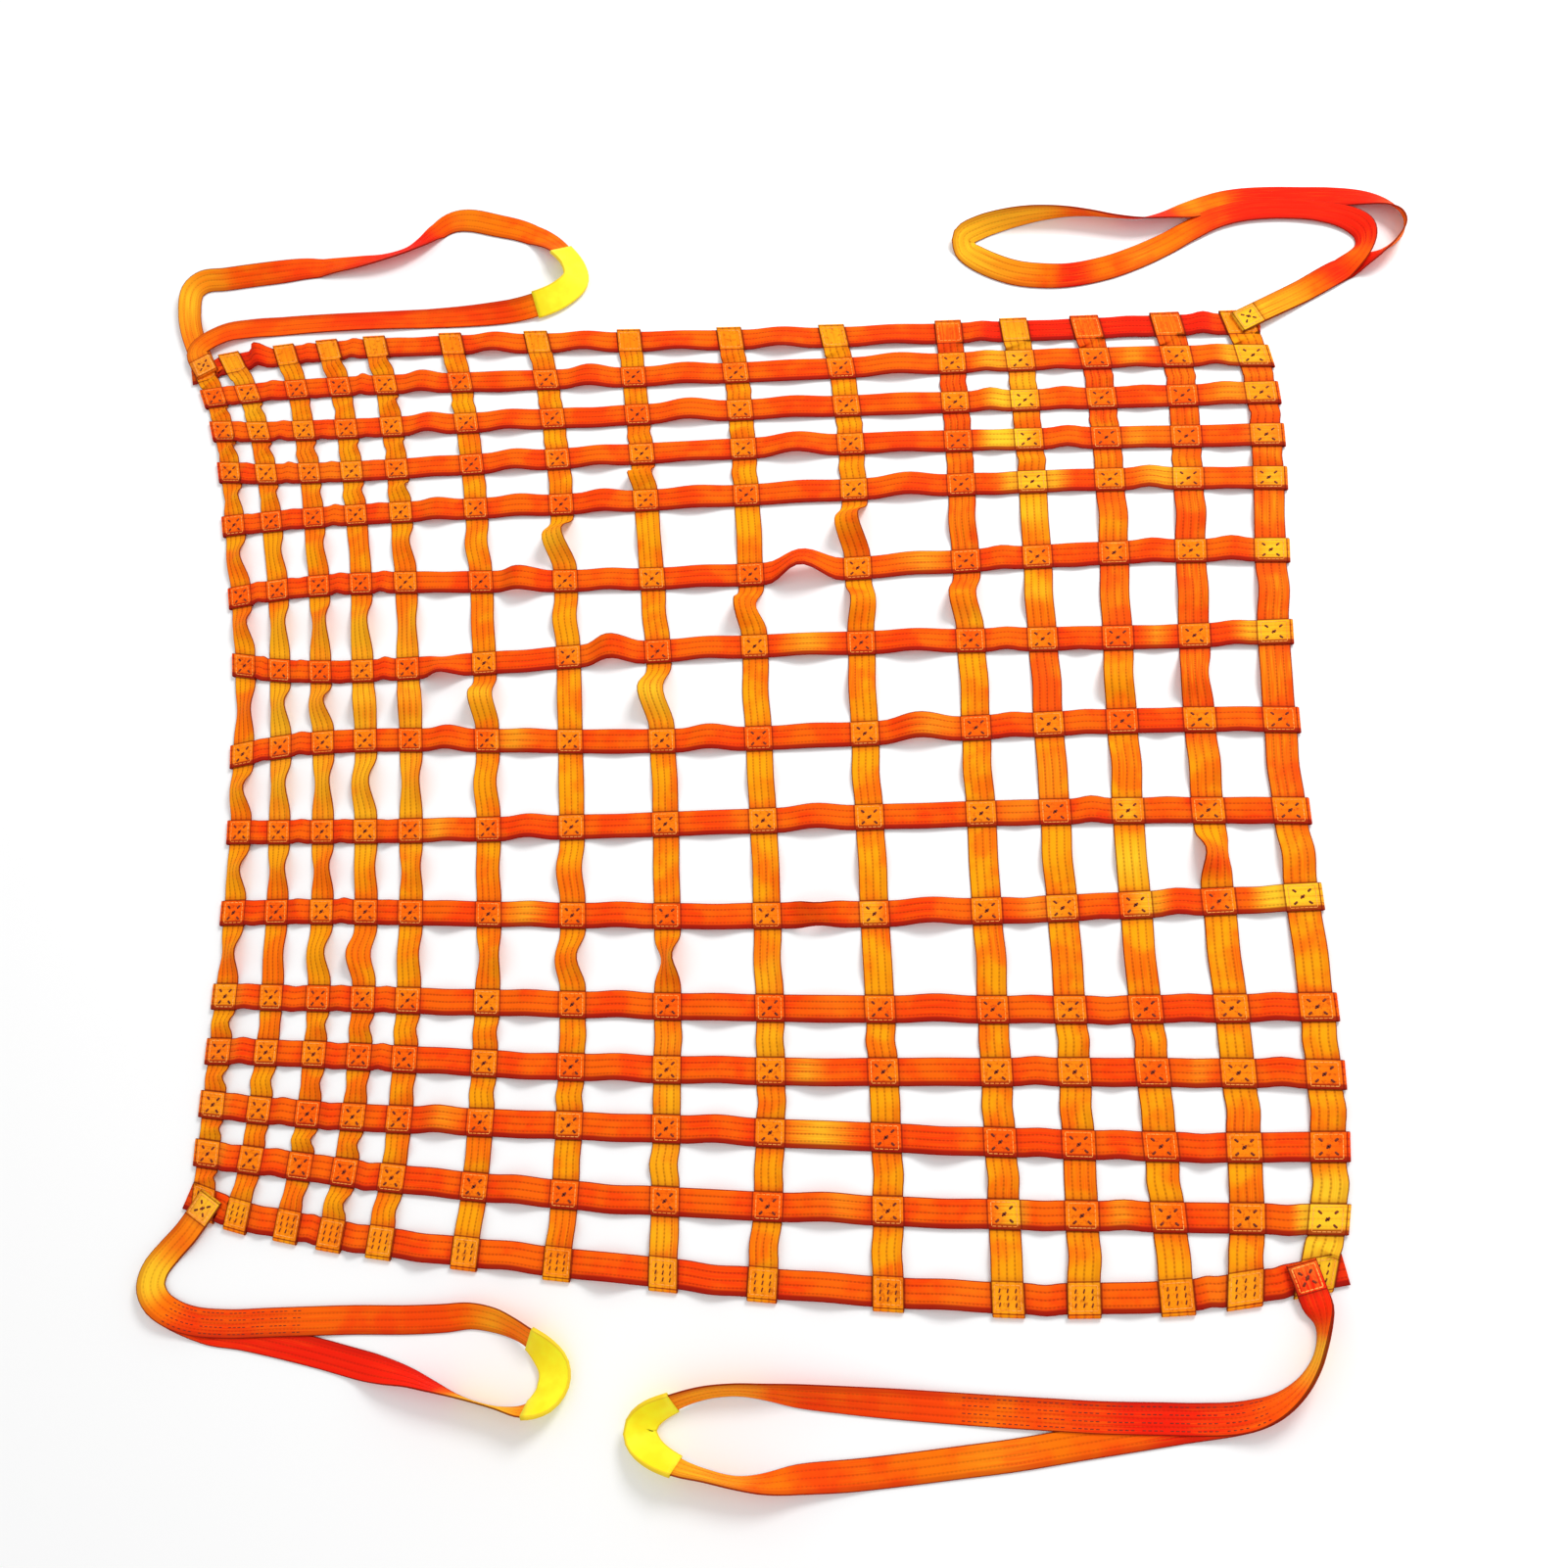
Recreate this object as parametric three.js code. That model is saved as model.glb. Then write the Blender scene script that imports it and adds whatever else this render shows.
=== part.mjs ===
// A cargo lifting net of flat woven webbing, laid loose on a floor, with a lifting sling at each corner.
// Millimetres, +Z up. X runs across the net to the right, Y runs away from the near edge.
import * as THREE from "three";

// Webbing
const LEFT_WIDTH = 44;
const RIGHT_WIDTH = 58;
const CROSSWISE_WIDTH = 50;
const SLING_WIDTH = 50;
const THICKNESS = 3;
const CLEARANCE = 0.3;
const PLY = THICKNESS + CLEARANCE;

// Grid of straps: the outer cells are narrow and the inner ones wide
const STRAPS = 15;
const LAST = STRAPS - 1;
const OUTER_CELLS = 4;
const NARROW_PITCH = 110;
const WIDE_PITCH = 175;

// Crossings are flat a little past both straps, and folded ends turn round a border in these steps
const PATCH_MARGIN = 2;
const FOLD_ANGLES = [180, 120, 60];

// Loose webbing between two crossings
const FREE_SPAN = 40;
const NARROW_LIFT = 5;
const WIDE_LIFT = 12;
const LOOSE_SWAY = 3;
const LOOSE_TWIST = 7;
const TURNED_STRAPS = 5;
const TURN = -14;
const BORDER_TURN = -34;
const BORDER_FLAT_CELL = 10;
const NARROW_STEPS = [0.5];
const WIDE_STEPS = [0.33, 0.67];
const SLACK_STEPS = [0.2, 0.4, 0.6, 0.8];

// Slings and the sleeves on their eyes
const CORNER_TOP = 3 * PLY;
const SLING_STEP = 42;
const SLEEVE_WALL = 1.5;
const SLEEVE_ROOM = 0.9;
const SLEEVE_SIDE_ROOM = 2.5;
const SLEEVE_LIFT = 6;

// Lengthwise straps, left to right: x where they meet these five places from the far edge to the near edge
const LENGTHWISE = [
  { far: -1246, upper: -1117, middle: -1022, lower: -987, near: -974 },
  { far: -1180, upper: -1035, middle: -945, lower: -895, near: -904 },
  { far: -1055, upper: -940, middle: -855, lower: -800, near: -805 },
  { far: -955, upper: -845, middle: -765, lower: -710, near: -720 },
  { far: -845, upper: -745, middle: -670, lower: -620, near: -625 },
  { far: -670, upper: -580, middle: -510, lower: -465, near: -465 },
  { far: -475, upper: -395, middle: -340, lower: -300, near: -295 },
  { far: -270, upper: -215, middle: -155, lower: -120, near: -105 },
  { far: -50, upper: -5, middle: 35, lower: 70, near: 70 },
  { far: 170, upper: 215, middle: 240, lower: 270, near: 285 },
  { far: 410, upper: 430, middle: 450, lower: 470, near: 485 },
  { far: 545, upper: 570, middle: 585, lower: 605, near: 610 },
  { far: 690, upper: 720, middle: 720, lower: 735, near: 760 },
  { far: 850, upper: 870, middle: 860, lower: 880, near: 870 },
  { far: 990, upper: 1020, middle: 1002, lower: 1022, near: 985 },
];

// Crosswise straps, far to near: y where they meet these five places from the left edge to the right edge
const CROSSWISE = [
  { left: 938, inner: 968, middle: 936, outer: 900, right: 874 },
  { left: 868, inner: 872, middle: 848, outer: 828, right: 796 },
  { left: 780, inner: 765, middle: 755, outer: 735, right: 710 },
  { left: 675, inner: 660, middle: 660, outer: 645, right: 615 },
  { left: 545, inner: 555, middle: 550, outer: 545, right: 520 },
  { left: 375, inner: 390, middle: 370, outer: 375, right: 365 },
  { left: 215, inner: 195, middle: 210, outer: 205, right: 195 },
  { left: 20, inner: 40, middle: 20, outer: 25, right: 20 },
  { left: -145, inner: -150, middle: -150, outer: -145, right: -155 },
  { left: -310, inner: -315, middle: -330, outer: -330, right: -315 },
  { left: -475, inner: -485, middle: -500, outer: -510, right: -510 },
  { left: -580, inner: -595, middle: -615, outer: -620, right: -625 },
  { left: -680, inner: -705, middle: -720, outer: -740, right: -745 },
  { left: -770, inner: -810, middle: -845, outer: -860, right: -862 },
  { left: -855, inner: -920, middle: -965, outer: -995, right: -949 },
];

// Spans that stand out as slack: sideways shift and rise in mm, twist in degrees, all at the span's middle
const SLACK = [
  { run: "lengthwise", strap: 1, cell: 5, sway: -7, lift: 12, twist: -26 },
  { run: "lengthwise", strap: 1, cell: 6, sway: -4, lift: 12, twist: -30 },
  { run: "lengthwise", strap: 1, cell: 7, sway: -5, lift: 10, twist: -28 },
  { run: "lengthwise", strap: 1, cell: 8, sway: -6, lift: 8, twist: -26 },
  { run: "lengthwise", strap: 2, cell: 5, sway: -10, lift: 16, twist: -32 },
  { run: "lengthwise", strap: 2, cell: 6, sway: 2, lift: 14, twist: -28 },
  { run: "lengthwise", strap: 2, cell: 7, sway: -8, lift: 12, twist: -30 },
  { run: "lengthwise", strap: 2, cell: 8, sway: -6, lift: 8, twist: -28 },
  { run: "lengthwise", strap: 3, cell: 5, sway: -4, lift: 16, twist: -24 },
  { run: "lengthwise", strap: 3, cell: 6, sway: -10, lift: 18, twist: 18 },
  { run: "lengthwise", strap: 3, cell: 7, sway: 3, lift: 14, twist: -22 },
  { run: "lengthwise", strap: 3, cell: 9, sway: 6, lift: 10, twist: 24 },
  { run: "lengthwise", strap: 4, cell: 6, sway: -10, lift: 16, twist: 26 },
  { run: "lengthwise", strap: 4, cell: 7, sway: -7, lift: 12, twist: -24 },
  { run: "lengthwise", strap: 4, cell: 8, sway: -6, lift: 8, twist: -20 },
  { run: "lengthwise", strap: 5, cell: 6, sway: 0, lift: 34, twist: 18 },
  { run: "lengthwise", strap: 5, cell: 9, sway: -8, lift: 10, twist: -24 },
  { run: "lengthwise", strap: 6, cell: 4, sway: 12, lift: 40, twist: -20 },
  { run: "lengthwise", strap: 6, cell: 9, sway: 9, lift: 10, twist: -20 },
  { run: "lengthwise", strap: 7, cell: 3, sway: 4, lift: 24, twist: 10 },
  { run: "lengthwise", strap: 7, cell: 6, sway: 11, lift: 38, twist: 16 },
  { run: "lengthwise", strap: 7, cell: 9, sway: -4, lift: 6, twist: -56 },
  { run: "lengthwise", strap: 8, cell: 5, sway: 10, lift: 22, twist: 40 },
  { run: "lengthwise", strap: 9, cell: 4, sway: 14, lift: 44, twist: -22 },
  { run: "lengthwise", strap: 9, cell: 5, sway: -10, lift: 18, twist: 24 },
  { run: "lengthwise", strap: 10, cell: 5, sway: 10, lift: 32, twist: 12 },
  { run: "lengthwise", strap: 12, cell: 6, sway: 4, lift: 26, twist: 10 },
  { run: "lengthwise", strap: 13, cell: 6, sway: 6, lift: 18, twist: 22 },
  { run: "lengthwise", strap: 13, cell: 8, sway: -4, lift: 10, twist: 42 },
  { run: "crosswise", strap: 0, cell: 1, sway: 0, lift: 6, twist: 40 },
  { run: "crosswise", strap: 5, cell: 5, sway: -6, lift: 26, twist: 16 },
  { run: "crosswise", strap: 5, cell: 8, sway: 12, lift: 32, twist: -26 },
  { run: "crosswise", strap: 6, cell: 4, sway: -6, lift: 12, twist: -30 },
  { run: "crosswise", strap: 6, cell: 6, sway: 6, lift: 20, twist: 20 },
  { run: "crosswise", strap: 7, cell: 9, sway: 4, lift: 18, twist: 14 },
  { run: "crosswise", strap: 9, cell: 8, sway: -6, lift: 14, twist: 46 },
];

// Slings, each from the corner out along the tail, round the eye and back along the tail as a second ply.
// Place of the webbing's middle, lean about its length in degrees, and lift of its lower edge off the floor.
// "leaves" is 1 where the ply that leaves the corner lies on the one that returns, and 0 where it lies below.
const SLINGS = [
  {
    name: "sling_far_left",
    leaves: 0,
    tail: [
      { x: -1233, y: 926, lean: 0, lift: CORNER_TOP },
      { x: -1266, y: 990, lean: 0, lift: CORNER_TOP },
    ],
    eye: [
      { x: -1292, y: 1048, lean: 6, lift: 6 },
      { x: -1305, y: 1098, lean: 18, lift: 0 },
      { x: -1304, y: 1151, lean: 28, lift: 0 },
      { x: -1277, y: 1173, lean: 36, lift: 0 },
      { x: -1225, y: 1174, lean: 40, lift: 0 },
      { x: -1164, y: 1178, lean: 40, lift: 0 },
      { x: -1092, y: 1184, lean: 32, lift: 0 },
      { x: -1035, y: 1193, lean: 12, lift: 0 },
      { x: -975, y: 1195, lean: -10, lift: 0 },
      { x: -914, y: 1196, lean: -22, lift: 0 },
      { x: -853, y: 1199, lean: -36, lift: 0 },
      { x: -796, y: 1214, lean: -38, lift: 0 },
      { x: -762, y: 1238, lean: -24, lift: 0 },
      { x: -732, y: 1270, lean: 0, lift: 0 },
      { x: -698, y: 1286, lean: 12, lift: 0 },
      { x: -656, y: 1284, lean: 20, lift: 0 },
      { x: -596, y: 1266, lean: 18, lift: 0 },
      { x: -526, y: 1244, lean: 6, lift: 0 },
      { x: -476, y: 1216, lean: -14, lift: 0 },
      { x: -436, y: 1177, lean: -32, lift: SLEEVE_LIFT },
      { x: -404, y: 1133, lean: -38, lift: SLEEVE_LIFT },
      { x: -396, y: 1092, lean: -38, lift: SLEEVE_LIFT },
      { x: -430, y: 1057, lean: -38, lift: SLEEVE_LIFT },
      { x: -482, y: 1036, lean: -38, lift: SLEEVE_LIFT },
      { x: -548, y: 1030, lean: -30, lift: 0 },
      { x: -636, y: 1032, lean: -12, lift: 0 },
      { x: -740, y: 1037, lean: 0, lift: 0 },
      { x: -858, y: 1041, lean: 6, lift: 0 },
      { x: -975, y: 1045, lean: 4, lift: 0 },
      { x: -1080, y: 1046, lean: 0, lift: 0 },
      { x: -1150, y: 1043, lean: 0, lift: 5 },
      { x: -1212, y: 1028, lean: 0, lift: 14 },
    ],
  },
  {
    name: "sling_far_right",
    leaves: 0,
    tail: [
      { x: 984, y: 871, lean: 0, lift: CORNER_TOP },
      { x: 1040, y: 898, lean: 0, lift: CORNER_TOP },
      { x: 1120, y: 941, lean: 6, lift: 0 },
      { x: 1184, y: 977, lean: 8, lift: 0 },
    ],
    eye: [
      { x: 1224, y: 996, lean: -10, lift: 0 },
      { x: 1261, y: 1006, lean: -46, lift: 0 },
      { x: 1297, y: 1026, lean: -74, lift: 0 },
      { x: 1321, y: 1058, lean: -90, lift: 0 },
      { x: 1321, y: 1093, lean: -112, lift: 0 },
      { x: 1298, y: 1125, lean: -136, lift: 0 },
      { x: 1254, y: 1149, lean: -160, lift: 0 },
      { x: 1194, y: 1163, lean: -176, lift: 0 },
      { x: 1127, y: 1171, lean: -180, lift: 0 },
      { x: 1060, y: 1178, lean: -180, lift: 0 },
      { x: 1003, y: 1179, lean: -180, lift: 0 },
      { x: 954, y: 1171, lean: -180, lift: 0 },
      { x: 908, y: 1157, lean: -168, lift: 0 },
      { x: 860, y: 1142, lean: -142, lift: 0 },
      { x: 811, y: 1136, lean: -127, lift: 0 },
      { x: 762, y: 1144, lean: -122, lift: 0 },
      { x: 712, y: 1156, lean: -115, lift: 0 },
      { x: 664, y: 1164, lean: -106, lift: 0 },
      { x: 612, y: 1166, lean: -92, lift: 0 },
      { x: 566, y: 1163, lean: -78, lift: 0 },
      { x: 520, y: 1156, lean: -64, lift: 0 },
      { x: 478, y: 1146, lean: -48, lift: 0 },
      { x: 444, y: 1130, lean: -26, lift: 0 },
      { x: 452, y: 1098, lean: 6, lift: 0 },
      { x: 492, y: 1060, lean: 26, lift: 0 },
      { x: 547, y: 1031, lean: 30, lift: 0 },
      { x: 600, y: 1019, lean: 28, lift: 0 },
      { x: 662, y: 1017, lean: 20, lift: 0 },
      { x: 737, y: 1029, lean: 18, lift: 0 },
      { x: 800, y: 1051, lean: 14, lift: 0 },
      { x: 856, y: 1078, lean: 8, lift: 0 },
      { x: 906, y: 1106, lean: 2, lift: 3 },
      { x: 962, y: 1132, lean: 0, lift: 5 },
      { x: 1024, y: 1144, lean: 0, lift: 5 },
      { x: 1104, y: 1141, lean: 0, lift: 5 },
      { x: 1176, y: 1125, lean: 0, lift: 5 },
      { x: 1220, y: 1102, lean: 14, lift: 4 },
      { x: 1245, y: 1070, lean: 36, lift: 2 },
      { x: 1246, y: 1036, lean: 44, lift: 2 },
      { x: 1226, y: 1006, lean: 26, lift: 5 },
    ],
  },
  {
    name: "sling_near_left",
    leaves: 1,
    tail: [
      { x: -956, y: -846, lean: 0, lift: CORNER_TOP },
      { x: -994, y: -908, lean: 0, lift: CORNER_TOP },
      { x: -1030, y: -946, lean: -4, lift: 0 },
      { x: -1050, y: -978, lean: -12, lift: 0 },
      { x: -1051, y: -1010, lean: -18, lift: 0 },
      { x: -1026, y: -1040, lean: -18, lift: 0 },
    ],
    eye: [
      { x: -972, y: -1061, lean: -5, lift: PLY },
      { x: -900, y: -1066, lean: 0, lift: PLY },
      { x: -822, y: -1062, lean: 0, lift: PLY },
      { x: -745, y: -1058, lean: 0, lift: PLY },
      { x: -658, y: -1054, lean: 6, lift: 0 },
      { x: -564, y: -1052, lean: 10, lift: 0 },
      { x: -494, y: -1048, lean: 16, lift: 0 },
      { x: -444, y: -1043, lean: 28, lift: 0 },
      { x: -400, y: -1049, lean: 34, lift: 0 },
      { x: -364, y: -1061, lean: 44, lift: 0 },
      { x: -331, y: -1077, lean: 46, lift: SLEEVE_LIFT },
      { x: -305, y: -1098, lean: 28, lift: SLEEVE_LIFT },
      { x: -288, y: -1122, lean: 10, lift: SLEEVE_LIFT },
      { x: -286, y: -1149, lean: 10, lift: SLEEVE_LIFT },
      { x: -299, y: -1175, lean: 34, lift: SLEEVE_LIFT },
      { x: -330, y: -1192, lean: 66, lift: SLEEVE_LIFT },
      { x: -376, y: -1190, lean: 90, lift: 0 },
      { x: -420, y: -1182, lean: 95, lift: 0 },
      { x: -460, y: -1172, lean: 90, lift: 0 },
      { x: -499, y: -1160, lean: 76, lift: 0 },
      { x: -542, y: -1147, lean: 58, lift: 0 },
      { x: -592, y: -1137, lean: 32, lift: 0 },
      { x: -646, y: -1127, lean: 6, lift: 0 },
      { x: -716, y: -1112, lean: 0, lift: 0 },
      { x: -794, y: -1097, lean: 0, lift: 0 },
      { x: -866, y: -1085, lean: 0, lift: 0 },
      { x: -938, y: -1076, lean: 0, lift: 0 },
    ],
  },
  {
    name: "sling_near_right",
    leaves: 1,
    tail: [
      { x: 960, y: -930, lean: 0, lift: CORNER_TOP },
      { x: 976, y: -984, lean: 4, lift: CORNER_TOP },
      { x: 987, y: -1022, lean: 66, lift: 1 },
      { x: 983, y: -1056, lean: 82, lift: 0 },
      { x: 968, y: -1092, lean: 80, lift: 0 },
      { x: 941, y: -1126, lean: 68, lift: 0 },
      { x: 903, y: -1153, lean: 48, lift: 0 },
      { x: 855, y: -1169, lean: 20, lift: 0 },
    ],
    eye: [
      { x: 792, y: -1174, lean: 2, lift: PLY },
      { x: 724, y: -1175, lean: 0, lift: PLY },
      { x: 633, y: -1176, lean: 0, lift: PLY },
      { x: 550, y: -1174, lean: 0, lift: PLY },
      { x: 475, y: -1172, lean: -2, lift: 2 },
      { x: 390, y: -1169, lean: -6, lift: 0 },
      { x: 296, y: -1165, lean: -14, lift: 0 },
      { x: 210, y: -1161, lean: -28, lift: 0 },
      { x: 136, y: -1157, lean: -40, lift: 0 },
      { x: 79, y: -1152, lean: -58, lift: 0 },
      { x: 31, y: -1150, lean: -66, lift: 0 },
      { x: -22, y: -1156, lean: -66, lift: 0 },
      { x: -73, y: -1172, lean: -60, lift: SLEEVE_LIFT },
      { x: -115, y: -1194, lean: -44, lift: SLEEVE_LIFT },
      { x: -130, y: -1221, lean: -22, lift: SLEEVE_LIFT },
      { x: -109, y: -1249, lean: -46, lift: SLEEVE_LIFT },
      { x: -64, y: -1271, lean: -62, lift: SLEEVE_LIFT },
      { x: -12, y: -1284, lean: -74, lift: 0 },
      { x: 36, y: -1292, lean: -72, lift: 0 },
      { x: 83, y: -1292, lean: -54, lift: 0 },
      { x: 142, y: -1284, lean: -24, lift: 0 },
      { x: 227, y: -1276, lean: -4, lift: 0 },
      { x: 321, y: -1263, lean: 2, lift: 0 },
      { x: 406, y: -1250, lean: 2, lift: 0 },
      { x: 490, y: -1237, lean: 0, lift: 0 },
      { x: 590, y: -1218, lean: 0, lift: 0 },
      { x: 682, y: -1201, lean: 0, lift: 0 },
      { x: 757, y: -1187, lean: 0, lift: 0 },
    ],
  },
];

// Sleeves: the sling that carries one, and the eye rows between which it reaches
const SLEEVES = [
  { name: "sleeve_far_left", sling: "sling_far_left", from: 19, to: 23 },
  { name: "sleeve_near_left", sling: "sling_near_left", from: 10, to: 15 },
  { name: "sleeve_near_right", sling: "sling_near_right", from: 12, to: 16 },
];

const COLOURS = { lengthwise: 0xf58a10, crosswise: 0xf4520a, sling: 0xf2600c, sleeve: 0xf7e60a };
const UP = new THREE.Vector3(0, 0, 1);

// The lengthwise straps grow wider from the left border to the right one
function strapWidth(run, strap) {
  if (run === "crosswise") return CROSSWISE_WIDTH;
  return THREE.MathUtils.lerp(LEFT_WIDTH, RIGHT_WIDTH, strap / LAST);
}

function isNarrow(cell) {
  return cell < OUTER_CELLS || cell >= LAST - OUTER_CELLS;
}

// Even place of each strap across the net, used as the parameter of the tables above
function evenPlaces() {
  const places = [0];
  for (let cell = 0; cell < LAST; cell++) {
    places.push(places[cell] + (isNarrow(cell) ? NARROW_PITCH : WIDE_PITCH));
  }
  return places.map((place) => place - places[LAST] / 2);
}

const EVEN = evenPlaces();
const KNOTS = [0, OUTER_CELLS, LAST / 2, LAST - OUTER_CELLS, LAST].map((strap) => EVEN[strap]);

// Value at a place from a table row's five values, by the one smooth curve through them
function valueAt(row, place) {
  const values = Object.values(row);
  let sum = 0;
  values.forEach((value, k) => {
    let weight = 1;
    KNOTS.forEach((knot, m) => {
      if (m !== k) weight *= (place - knot) / (KNOTS[k] - knot);
    });
    sum += value * weight;
  });
  return sum;
}

function crossing(column, row) {
  return new THREE.Vector3(
    valueAt(LENGTHWISE[column], EVEN[row]),
    valueAt(CROSSWISE[row], EVEN[column]),
    0,
  );
}

// Unit direction of a strap at a crossing: lengthwise straps run away, crosswise ones to the right
function heading(run, column, row) {
  if (run === "lengthwise") {
    const before = crossing(column, Math.min(row + 1, LAST));
    return crossing(column, Math.max(row - 1, 0)).sub(before).normalize();
  }
  const before = crossing(Math.max(column - 1, 0), row);
  return crossing(Math.min(column + 1, LAST), row).sub(before).normalize();
}

// How far a crossing's flat patch reaches along a strap, which is more where the two cross at a slant.
// Folded ends are cut along the border, so they need less.
function patchReach(run, column, row, folded) {
  const slant = Math.abs(heading("lengthwise", column, row).dot(heading("crosswise", column, row)));
  const along = strapWidth("lengthwise", column);
  const [own, other] = run === "lengthwise" ? [along, CROSSWISE_WIDTH] : [CROSSWISE_WIDTH, along];
  return (other + (folded ? 0 : own * slant)) / 2 / Math.sqrt(1 - slant * slant) + PATCH_MARGIN;
}

// Height of the underside of a strap at a crossing: side borders lie inside folded crosswise ends,
// end borders inside folded lengthwise ends, and all other lengthwise straps lie on the floor
function levelAt(run, strap, other) {
  const border = strap === 0 || strap === LAST;
  const atBorder = other === 0 || other === LAST;
  if (run === "crosswise" && border) return PLY;
  if (atBorder) return 2 * PLY;
  if (run === "crosswise" || border) return PLY;
  return 0;
}

// Slack of one span, from its row in the table or a small steady ripple.
// The lengthwise straps at the left lie a little turned, with their right edge up, and the left border
// more, until it flattens out towards the near edge.
function slackOf(run, strap, cell) {
  const found = SLACK.find((s) => s.run === run && s.strap === strap && s.cell === cell);
  if (found) return found;
  const phase = 2.4 * strap + 3.9 * cell + (run === "crosswise" ? 1.3 : 0);
  const rise = isNarrow(cell) ? NARROW_LIFT : WIDE_LIFT;
  const turned = strap === 0 && cell < BORDER_FLAT_CELL ? BORDER_TURN : TURN;
  const turn = run === "lengthwise" && strap < TURNED_STRAPS ? turned : 0;
  return {
    sway: LOOSE_SWAY * Math.sin(2.1 * phase),
    lift: rise * (0.5 + 0.5 * Math.sin(phase)),
    twist: turn + LOOSE_TWIST * Math.sin(1.7 * phase),
  };
}

// A cross-section of a strap: its middle, its unit width direction and its unit normal
function section(middle, side, normal) {
  return { middle, side: side.clone(), normal: normal.clone() };
}

// One strap as sections from end to end, with a flat patch at each crossing
function strapSections(run, strap) {
  const width = strapWidth(run, strap);
  const folds = run === "lengthwise" || (strap > 0 && strap < LAST);
  const patches = [];
  for (let k = 0; k < STRAPS; k++) {
    const other = run === "lengthwise" ? LAST - k : k;
    const [column, row] = run === "lengthwise" ? [strap, other] : [other, strap];
    const ahead = heading(run, column, row);
    const middle = crossing(column, row);
    middle.z = levelAt(run, strap, other) + THICKNESS / 2;
    const folded = folds && (k === 0 || k === LAST);
    const reach = ahead.clone().multiplyScalar(patchReach(run, column, row, folded));
    const square = UP.clone().cross(ahead);
    const border = heading(run === "lengthwise" ? "crosswise" : "lengthwise", column, row);
    const side = folded ? border.divideScalar(border.dot(square)) : square;
    const crossed = run === "lengthwise" ? CROSSWISE_WIDTH : strapWidth("lengthwise", column);
    const [start, end] = [middle.clone().sub(reach), middle.clone().add(reach)];
    patches.push({ middle, ahead, side, crossed, start, end });
  }
  const sections = [];
  patches.forEach((patch, k) => {
    const cell = run === "lengthwise" ? LAST - k : k - 1;
    if (k > 0) sections.push(...spanSections(slackOf(run, strap, cell), cell, patches[k - 1], patch, width));
    sections.push(section(patch.start, patch.side, UP), section(patch.end, patch.side, UP));
  });
  if (!folds) return sections;
  const startFold = foldSections(patches[0], patches[0].start);
  const endFold = foldSections(patches[LAST], patches[LAST].end).reverse();
  return [...startFold, ...sections, ...endFold];
}

// The loose span between two flat patches, which rises and turns less where it is short
function spanSections(slack, cell, before, after, width) {
  const wideSteps = slack.strap === undefined ? WIDE_STEPS : SLACK_STEPS;
  const steps = isNarrow(cell) ? NARROW_STEPS : wideSteps;
  const ease = Math.min(1, before.end.distanceTo(after.start) / FREE_SPAN);
  return steps.map((f) => {
    const swell = ease * Math.sin(Math.PI * f) ** 2;
    const ahead = before.ahead.clone().lerp(after.ahead, f).normalize();
    const side = UP.clone().cross(ahead);
    const twist = THREE.MathUtils.degToRad(slack.twist) * swell;
    const middle = before.end.clone().lerp(after.start, f).addScaledVector(side, slack.sway * swell);
    middle.z += slack.lift * swell + (width / 2) * Math.abs(Math.sin(twist));
    return section(
      middle,
      side.applyAxisAngle(ahead, twist),
      UP.clone().applyAxisAngle(ahead, twist),
    );
  });
}

// A strap's end folded round a border and tucked under it, from the tip out to the edge of the patch
function foldSections(patch, edge) {
  const outward = edge.clone().sub(patch.middle).normalize();
  const centre = edge.clone().addScaledVector(UP, -PLY);
  const round = FOLD_ANGLES.map((degrees) => {
    const angle = THREE.MathUtils.degToRad(degrees);
    const normal = UP.clone().multiplyScalar(Math.cos(angle)).addScaledVector(outward, Math.sin(angle));
    return section(centre.clone().addScaledVector(normal, PLY), patch.side, normal);
  });
  const tucked = edge.distanceTo(patch.middle) + patch.crossed / 2;
  const tip = round[0].middle.clone().addScaledVector(outward, -tucked);
  return [section(tip, patch.side, round[0].normal), ...round];
}

// Corners of a section of the given width and thickness, in order round it
function corners({ middle, side, normal }, width, thickness) {
  return [[-1, -1], [1, -1], [1, 1], [-1, 1]].map(([across, through]) =>
    middle
      .clone()
      .addScaledVector(side, (across * width) / 2)
      .addScaledVector(normal, (through * thickness) / 2),
  );
}

function meshGeometry(points, triangles) {
  const geometry = new THREE.BufferGeometry();
  geometry.setFromPoints(points);
  geometry.setIndex(triangles.flat());
  geometry.computeVertexNormals();
  return geometry;
}

// Two triangles for each side of a ring of four points swept to the next ring.
// Opposite sides are split along the same diagonal, so that a twisted strap keeps its thickness.
function wallTriangles(rings, start, stride, inward) {
  const triangles = [];
  for (let k = 0; k + 1 < rings; k++) {
    for (let e = 0; e < 4; e++) {
      const a = start + k * stride + e;
      const b = start + k * stride + ((e + 1) % 4);
      const quad =
        e < 2
          ? [[a, b, b + stride], [a, b + stride, a + stride]]
          : [[a, b, a + stride], [b, b + stride, a + stride]];
      triangles.push(...(inward ? quad.map((t) => [...t].reverse()) : quad));
    }
  }
  return triangles;
}

// Solid webbing through a list of sections
function webbingGeometry(sections, width) {
  const points = sections.flatMap((s) => corners(s, width, THICKNESS));
  const end = points.length - 4;
  const caps = [[0, 2, 1], [0, 3, 2], [end, end + 1, end + 2], [end, end + 2, end + 3]];
  return meshGeometry(points, [...wallTriangles(sections.length, 0, 4, false), ...caps]);
}

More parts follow.
